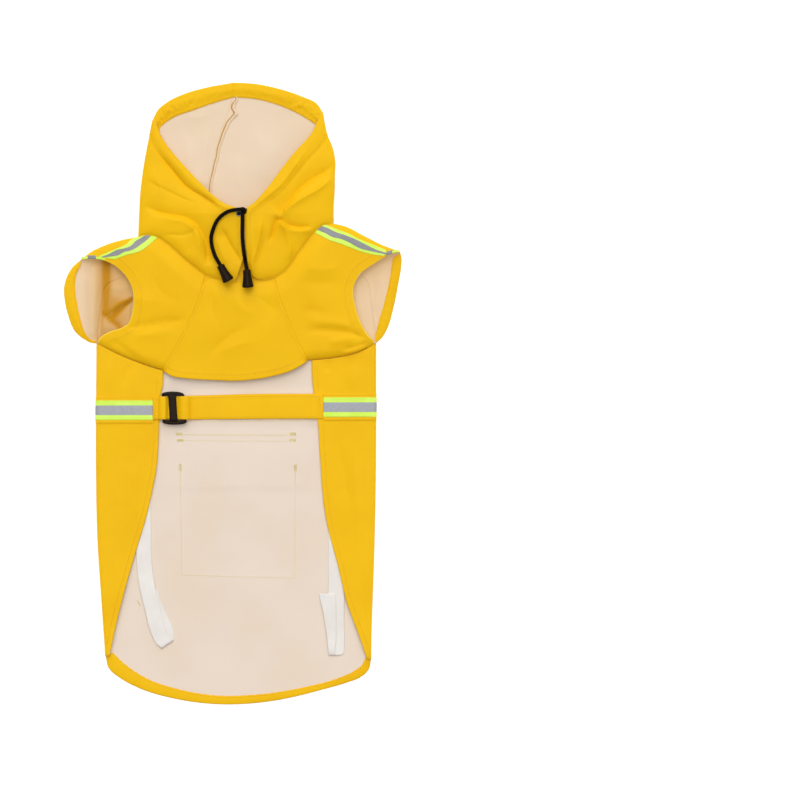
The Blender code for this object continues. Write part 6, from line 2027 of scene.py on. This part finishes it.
def turned_mesh(profile, place, axis, n=40):
    """A turned piece: radius and distance along its axis, from end to end."""
    axis = np.array(axis, float)
    axis /= np.linalg.norm(axis)
    side = np.cross(axis, [0, 0, 1.0] if abs(axis[2]) < 0.9 else [1.0, 0, 0])
    side /= np.linalg.norm(side)
    other = np.cross(axis, side)
    a = np.arange(n) * 2 * np.pi / n
    ring = side * np.cos(a)[:, None] + other * np.sin(a)[:, None]
    v = [np.array(place) + axis * h + ring * r for r, h in profile]
    m = len(profile)
    f = [(j * n + i, j * n + (i + 1) % n, (j + 1) * n + (i + 1) % n, (j + 1) * n + i)
         for j in range(m - 1) for i in range(n)]
    f.append(tuple(range(n))[::-1])
    f.append(tuple((m - 1) * n + i for i in range(n)))
    return np.concatenate(v), f


STOP_PROFILE = (  # radius, distance from the narrow end
    (2.25, 1.5), (2.25, 0.35), (2.6, 0.0), (3.1, 0.0), (3.55, 0.22), (3.85, 0.7), (3.95, 1.4),
    (3.98, 2.6), (3.98, 4.2), (4.15, 6.0), (4.45, 8.6), (4.85, 11.2), (5.35, 13.8), (5.75, 15.6),
    (5.98, 16.6), (6.0, 17.2), (5.85, 17.75), (5.45, 18.2), (4.8, 18.5), (3.6, 18.62), (1.2, 18.65),
    (0.05, 18.65),
)
cords = {}
for side in ("left", "right"):
    route = cord_route(side)
    v, f = braided_tube(route, CORD_D / 2)
    obj = joined("drawcord_" + side, [(v, f)], [cord_cover], "cord", "drawcord_" + side)
    mouth, wide = (np.array(p) for p in STOP_ENDS[side])
    axis = (wide - mouth) / np.linalg.norm(wide - mouth)
    stop = joined("cord_stop_" + side, [turned_mesh(STOP_PROFILE, route[-1] - axis * 2.0, axis)],
                  [black], "black_plastic", "cord_stop_" + side)
    at = np.linspace(0, len(route) - 1, 34).round().astype(int)
    world_route = [tuple(float(c) for c in (route[i] + [ORIGIN[0], ORIGIN[1], 0]) * MM) for i in at]
    print("CORD", side, np.linalg.norm(np.diff(world_route, axis=0), axis=1).sum())
    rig.cord(obj, exit=world_route[0], length=CORD_FACTS[side], diameter=CORD_D * MM,
            far_end="fitting", stiffness="limp", lay="loose", path=world_route, with_pieces=[stop])
    cords[side] = route

e = dict(x=EYELET["x"] + 1.5, y=EYELET["y"] + 1.4)      # drawn up against the cords
hits = [hoods(e["x"] + dx, e["y"] + dy, 1.0)[0] for dx, dy in ((-3, 0), (3, 0), (0, -3), (0, 3))]
n = np.array([-(hits[1] - hits[0]) / 6, -(hits[3] - hits[2]) / 6, 1.0])
ring = []
for a_ in np.linspace(0, 2 * np.pi, 15)[:-1]:
    ring.append((2.45 + 0.62 * math.cos(a_), 0.42 + 0.45 * math.sin(a_)))
v, f = turned_mesh(ring + [ring[0]], (e["x"], e["y"], np.mean(hits) - 0.05), n, 36)
f = f[:-2]
# the dark hole in its middle: a black disc of painted shade, in the cord's material
hole = turned_mesh(((0.02, 0.40), (0.9, 0.38), (1.7, 0.30), (2.3, 0.12), (2.3, 0.02), (0.02, 0.0)),
                   (e["x"], e["y"], np.mean(hits) + 0.44), n, 36)
eyelet = joined("cord_eyelet", [(v, f)], [metal], "eyelet_metal", "cord_eyelet")
joined("cord_in_eyelet", [hole], [cord_cover], "cord")
bm = bmesh.new()
bm.from_mesh(eyelet.data)
bmesh.ops.remove_doubles(bm, verts=bm.verts, dist=1e-6)
bmesh.ops.recalc_face_normals(bm, faces=bm.faces)
bm.to_mesh(eyelet.data)
bm.free()


# ---------------------------------------------------------------- stitching
O = PIECES
outside = surface_of(*[O[k] for k in ("hood_left", "hood_right", "shoulder_left", "shoulder_right",
                                      "back_panel", "chest_bib", "tape_body_backing", "tape_body",
                                      "belt", "tail_hem", "hood_hem_left", "hood_hem_right",
                                      "cuff_hem_left", "cuff_hem_right")])
on_panel = surface_of(O["back_panel"])
on_yellow, on_cream, on_tape, on_white = Threads(), Threads(), Threads(), Threads()


def offset_line(q, d):
    """A dense line in plan moved to its left by a distance for each point."""
    t = np.gradient(q, axis=0)
    t /= np.maximum(np.linalg.norm(t, axis=1), 1e-9)[:, None]
    return q + np.stack([-t[:, 1], t[:, 0]], -1) * np.asarray(d)[..., None]


# hood rim, from the corner down to the neck
for s, sign in (("l", -1), ("r", 1)):
    q = FRONT[s].at(np.linspace(0.05, 0.93, 300))
    on_yellow.row(offset_line(q, sign * (hem_width(q[:, 1], s) - 1.5)), outside)
    q = L["near_" + s].at(np.linspace(0.04, 0.95, 260))
    inside = 1 if s == "r" else -1
    on_yellow.row(offset_line(q, inside * (CUFF_HEM - 1.4)), outside)
    q = L["edge_" + s].at(np.linspace(0.02, 0.96, 300))
    on_yellow.row(offset_line(q, np.full(len(q), sign * (FLAP_HEM - 1.5))), outside)
    q = L["raglan_" + s].at(np.linspace(0.03, 0.98, 120))
    on_yellow.row(offset_line(q, np.full(len(q), 2.2 if s == "l" else -2.2)), outside)
    t = np.linspace(0.03, 0.99, 160)
    a, b = L["rim_" + s].at(t), L["hood_hem_" + s].at(t)
    step = (b - a) / np.linalg.norm(b - a, axis=1)[:, None]
    on_yellow.row(b - step * 1.3, outside)
    t = np.linspace(0.10, 0.93, 130)
    a, b = L["far_" + s].at(t), CUFF_INNER[s].at(t)
    step = (b - a) / np.linalg.norm(b - a, axis=1)[:, None]
    on_yellow.row(b - step * 1.2, outside)
q = L["bib_hem"].at(np.linspace(0.02, 0.98, 200))
on_yellow.row(offset_line(q, np.full(len(q), 6.1)), outside)
t = np.linspace(0.06, 0.95, 300)
a, b = L["tail"].at(t), L["tail_hem"].at(t)
step = (b - a) / np.linalg.norm(b - a, axis=1)[:, None]
on_yellow.row(b - step * 1.3, outside)

# belt: two edge lines and a box at each sewn end
x = np.linspace(-47, 86, 200)
lo = -27.3 + 1.0 * smooth((x + 86) / 150.0)
hi = -4.0 + 2.7 * smooth((x + 86) / 130.0)
on_belt = surface_of(O["belt"])
on_yellow.row(np.column_stack([x, lo + 2.0]), on_belt)
on_yellow.row(np.column_stack([x, hi - 2.0]), on_belt)
for xe, y0, y1 in ((-82.6, -26.2, -6.6), (88.4, -25.2, -4.4), (85.6, -25.2, -4.4)):
    on_yellow.row(np.array([(xe, y0), (xe, y1)]), on_belt, pitch=2.4, length=1.9)
for xa, xb in ((-82.6, -78.6),):
    for y in (-26.2, -6.6):
        on_yellow.row(np.array([(xa, y), (xb, y)]), on_belt, pitch=2.4, length=1.9)

# band: backing strip and tape, on both flaps
for x0, x1 in ((-142.5, -86.5), (93.5, 145.0)):
    x = np.linspace(x0, x1, 60)
    for o, group in ((12.9, on_yellow), (-12.9, on_yellow), (8.9, on_tape), (-8.9, on_tape)):
        y = tape_middle(x) + o
        group.row(np.column_stack([x, y]), outside, pitch=2.8, length=2.1)

# inside of the back: the band's, the pocket's and the flap's lines show through in yellow
x = np.linspace(-60, 84, 200)
on_cream.row(np.column_stack([x, -30.0 + 1.0 * smooth((x + 60) / 130.0)]), on_panel, pitch=3.2,
             length=2.2, radius=0.30)
on_cream.row(np.column_stack([x, tape_middle(x) + 13.2]), on_panel, pitch=3.4, length=2.3, radius=0.23)
q = np.array([(-60.5 + 125.0 * k, -43.2 - 0.8 * k) for k in np.linspace(0, 1, 60)])
on_cream.row(q, on_panel, pitch=2.6, length=2.45, radius=0.24)
INSIDE_LINES = (  # x0, y0, x1, y1
    (-59.5, -49.6, 64.0, -50.2),
    (-56.7, -77.0, -55.2, -189.3), (-55.2, -189.3, 62.4, -192.4), (62.4, -192.4, 62.8, -77.5),
)
for x0, y0, x1, y1 in INSIDE_LINES:
    q = np.array([(x0 + (x1 - x0) * k, y0 + (y1 - y0) * k) for k in np.linspace(0, 1, 60)])
    on_cream.row(q, on_panel, pitch=3.1, length=2.3, radius=0.23)
for p, q in (((-56.8, -74.0), (-56.6, -80.5)), ((62.8, -74.5), (62.8, -81.0)),
             ((-101.4, -216.0), (-98.2, -221.0))):
    on_cream.bar(p, q, on_panel)
# the two long lines are sewn back over themselves at their ends
for dx in (-0.9, 0.9):
    for x0, y0, y1 in ((-56.7, -74.0, -80.5), (62.8, -74.5, -81.0)):
        on_cream.bar((x0 + dx, y0), (x0 + dx, y1), on_panel)
for x0, x1, y in ((-61.4, -53.6, -42.6), (56.8, 64.6, -42.2), (-60.2, -53.8, -49.2), (56.4, 64.2, -49.0)):
    for o in (-1.05, -0.35, 0.35, 1.05):
        q = np.array([(x0 + (x1 - x0) * k, y + o) for k in np.linspace(0, 1, 12)])
        on_cream.row(q, on_panel, pitch=2.3, length=2.1, radius=0.25)

# underneath
below = surface_of(*[O[k] for k in ("hood_left", "hood_right", "back_panel", "pocket", "pocket_flap",
                                    "tape_body_backing", "tape_body", "shoulder_left",
                                    "shoulder_right")])
under = Threads()
q = L["hood_seam"].at(np.linspace(0.03, 0.98, 260))
for d in (2.2, -2.2):
    under.row(offset_line(q, np.full(len(q), d)), below, up=-1.0)
for s, d in (("l", -2.4), ("r", 2.4)):
    q = L["neckback_" + s].at(np.linspace(0.30, 0.99, 160))
    under.row(offset_line(q, np.full(len(q), d)), below, up=-1.0)
q = L["tail"].at(np.linspace(0.04, 0.96, 300))
under.row(offset_line(q, np.full(len(q), 8.6)), below, up=-1.0)
for box, inset, sides in ((POCKET, 1.8, "lbr"), (POCKET_FLAP, 1.8, "lbrt"), (POCKET_FLAP, 8.0, "t")):
    x0, x1 = box["x0"] + 1.8, box["x1"] - 1.8
    y0, y1 = box["bottom"] + 1.8, box["top"] - inset
    lines = dict(l=((x0, y1), (x0, y0)), b=((x0, y0), (x1, y0)), r=((x1, y0), (x1, y1)),
                 t=((x0, y1), (x1, y1)))
    for k in sides:
        a, b = (np.array(p) for p in lines[k])
        q = a + (b - a) * np.linspace(0, 1, 80)[:, None]
        if box is POCKET:
            q = q[q[:, 1] < POCKET_FLAP["bottom"] - 1.5]
        if len(q) > 2:
            under.row(q, below, up=-1.0)
x = np.linspace(-141, 143, 300)
for o in (12.9, -12.9):
    under.row(np.column_stack([x, tape_middle(x) + o]), below, up=-1.0)
for o in (8.9, -8.9):
    on_tape.row(np.column_stack([x, tape_middle(x) + o]), below, up=-1.0)
g = LEASH_SLIT
for dx in (-1.7, 1.7):
    q = np.array([(g["x"] + dx, g["y0"] - 1.0), (g["x"] + dx, g["y1"] + 1.0)])
    for y in np.arange(g["y0"] - 0.6, g["y1"] + 0.9, 0.62):
        hit = below(g["x"] + dx, y, -1.0)
        if hit is not None:
            under.stitch(np.array([g["x"] + dx, y, hit[0]]) + hit[1] * 0.12, np.array([1.0, 0, 0]),
                         hit[1], 2.2, 0.24)
        hit = on_panel(g["x"] + dx, y, 1.0)
        if hit is not None:
            on_cream.stitch(np.array([g["x"] + dx, y, hit[0]]) + hit[1] * 0.12,
                            np.array([1.0, 0, 0]), hit[1], 2.2, 0.24)

# elastic loops: sewn ends
loops = surface_of(O["leg_loop_left"], O["leg_loop_right"])
for a, b in (((88.4, -210.4), (101.4, -213.0)), ((88.9, -213.2), (101.8, -215.6))):
    q = np.array(a) + (np.array(b) - np.array(a)) * np.linspace(0, 1, 20)[:, None]
    on_white.row(q, loops, pitch=2.0, length=1.7, radius=0.2)

on_yellow.piece("stitches_outside", thread_dark)
on_cream.piece("stitches_inside", thread_yellow)
on_tape.piece("stitches_tape", thread_lime, "reflective_tape")
under.piece("stitches_underneath", thread_dark)
if on_white.n:
    on_white.piece("stitches_elastic", thread_white, "elastic")


# ---------------------------------------------------------------- what each cloth piece was cut to
FLAT = dict(  # width, length, area in mm and square metres; what it rests on
    back_panel=(430, 455, 0.1500, "laid", ["pocket", "pocket_flap"]),
    belt=(24.2, 186, None, "laid", ["back_panel"]),
    chest_bib=(152, 132, 0.0118, "laid", ["back_panel"]),
    cuff_hem_left=(10, 84, None, "laid", ["shoulder_left"]),
    cuff_hem_right=(10, 86, None, "laid", ["shoulder_right"]),
    hood_hem_left=(13.5, 115, None, "laid", ["hood_left"]),
    hood_hem_right=(13.5, 120, None, "laid", ["hood_right"]),
    hood_left=(185, 235, 0.0262, "folded", ["back_panel"]),
    hood_right=(210, 240, 0.0350, "folded", ["back_panel"]),
    leg_loop_left=(ELASTIC_W, 209, None, "folded", ["back_panel"]),
    leg_loop_right=(ELASTIC_W, 221, None, "folded", ["back_panel"]),
    pocket=(126.5, 133.5, None, "laid", []),
    pocket_flap=(132, 56, None, "laid", ["pocket"]),
    shoulder_left=(132, 160, 0.0141, "folded", ["back_panel"]),
    shoulder_right=(135, 160, 0.0146, "folded", ["back_panel"]),
    tail_hem=(10, 310, None, "laid", ["back_panel"]),
    tape_body=(TAPE_W, 413, None, "folded", ["back_panel"]),
    tape_body_backing=(28, 411, None, "folded", ["back_panel"]),
    tape_shoulder_left=(15, 66, None, "laid", ["shoulder_left"]),
    tape_shoulder_right=(15, 76, None, "laid", ["shoulder_right"]),
)
ON = dict(hood_left=["hood_seam_allowance", "stitches_outside", "stitches_underneath"],
          back_panel=["stitches_inside"], tape_body=["stitches_tape"],
          leg_loop_right=["stitches_elastic"])
for name, (w, l, area, held, under_it) in FLAT.items():
    obj, measured = SHEETS[name]
    print("SHEET %-22s measured %.5f stated %.5f" % (name, measured, area or w * l * 1e-6))
    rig.sheet(obj, flat=(w * MM, l * MM), held=held, rests_on=under_it, area=area,
             with_pieces=[PIECES[k] for k in ON.get(name, []) if k in PIECES])

# ---------------------------------------------------------------- size and end
VISUAL_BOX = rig.bounds()
with open("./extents.json", "w") as f:
    json.dump([[list(map(float, corner)) for corner in box] for box in (CAD_BOX, VISUAL_BOX)], f)
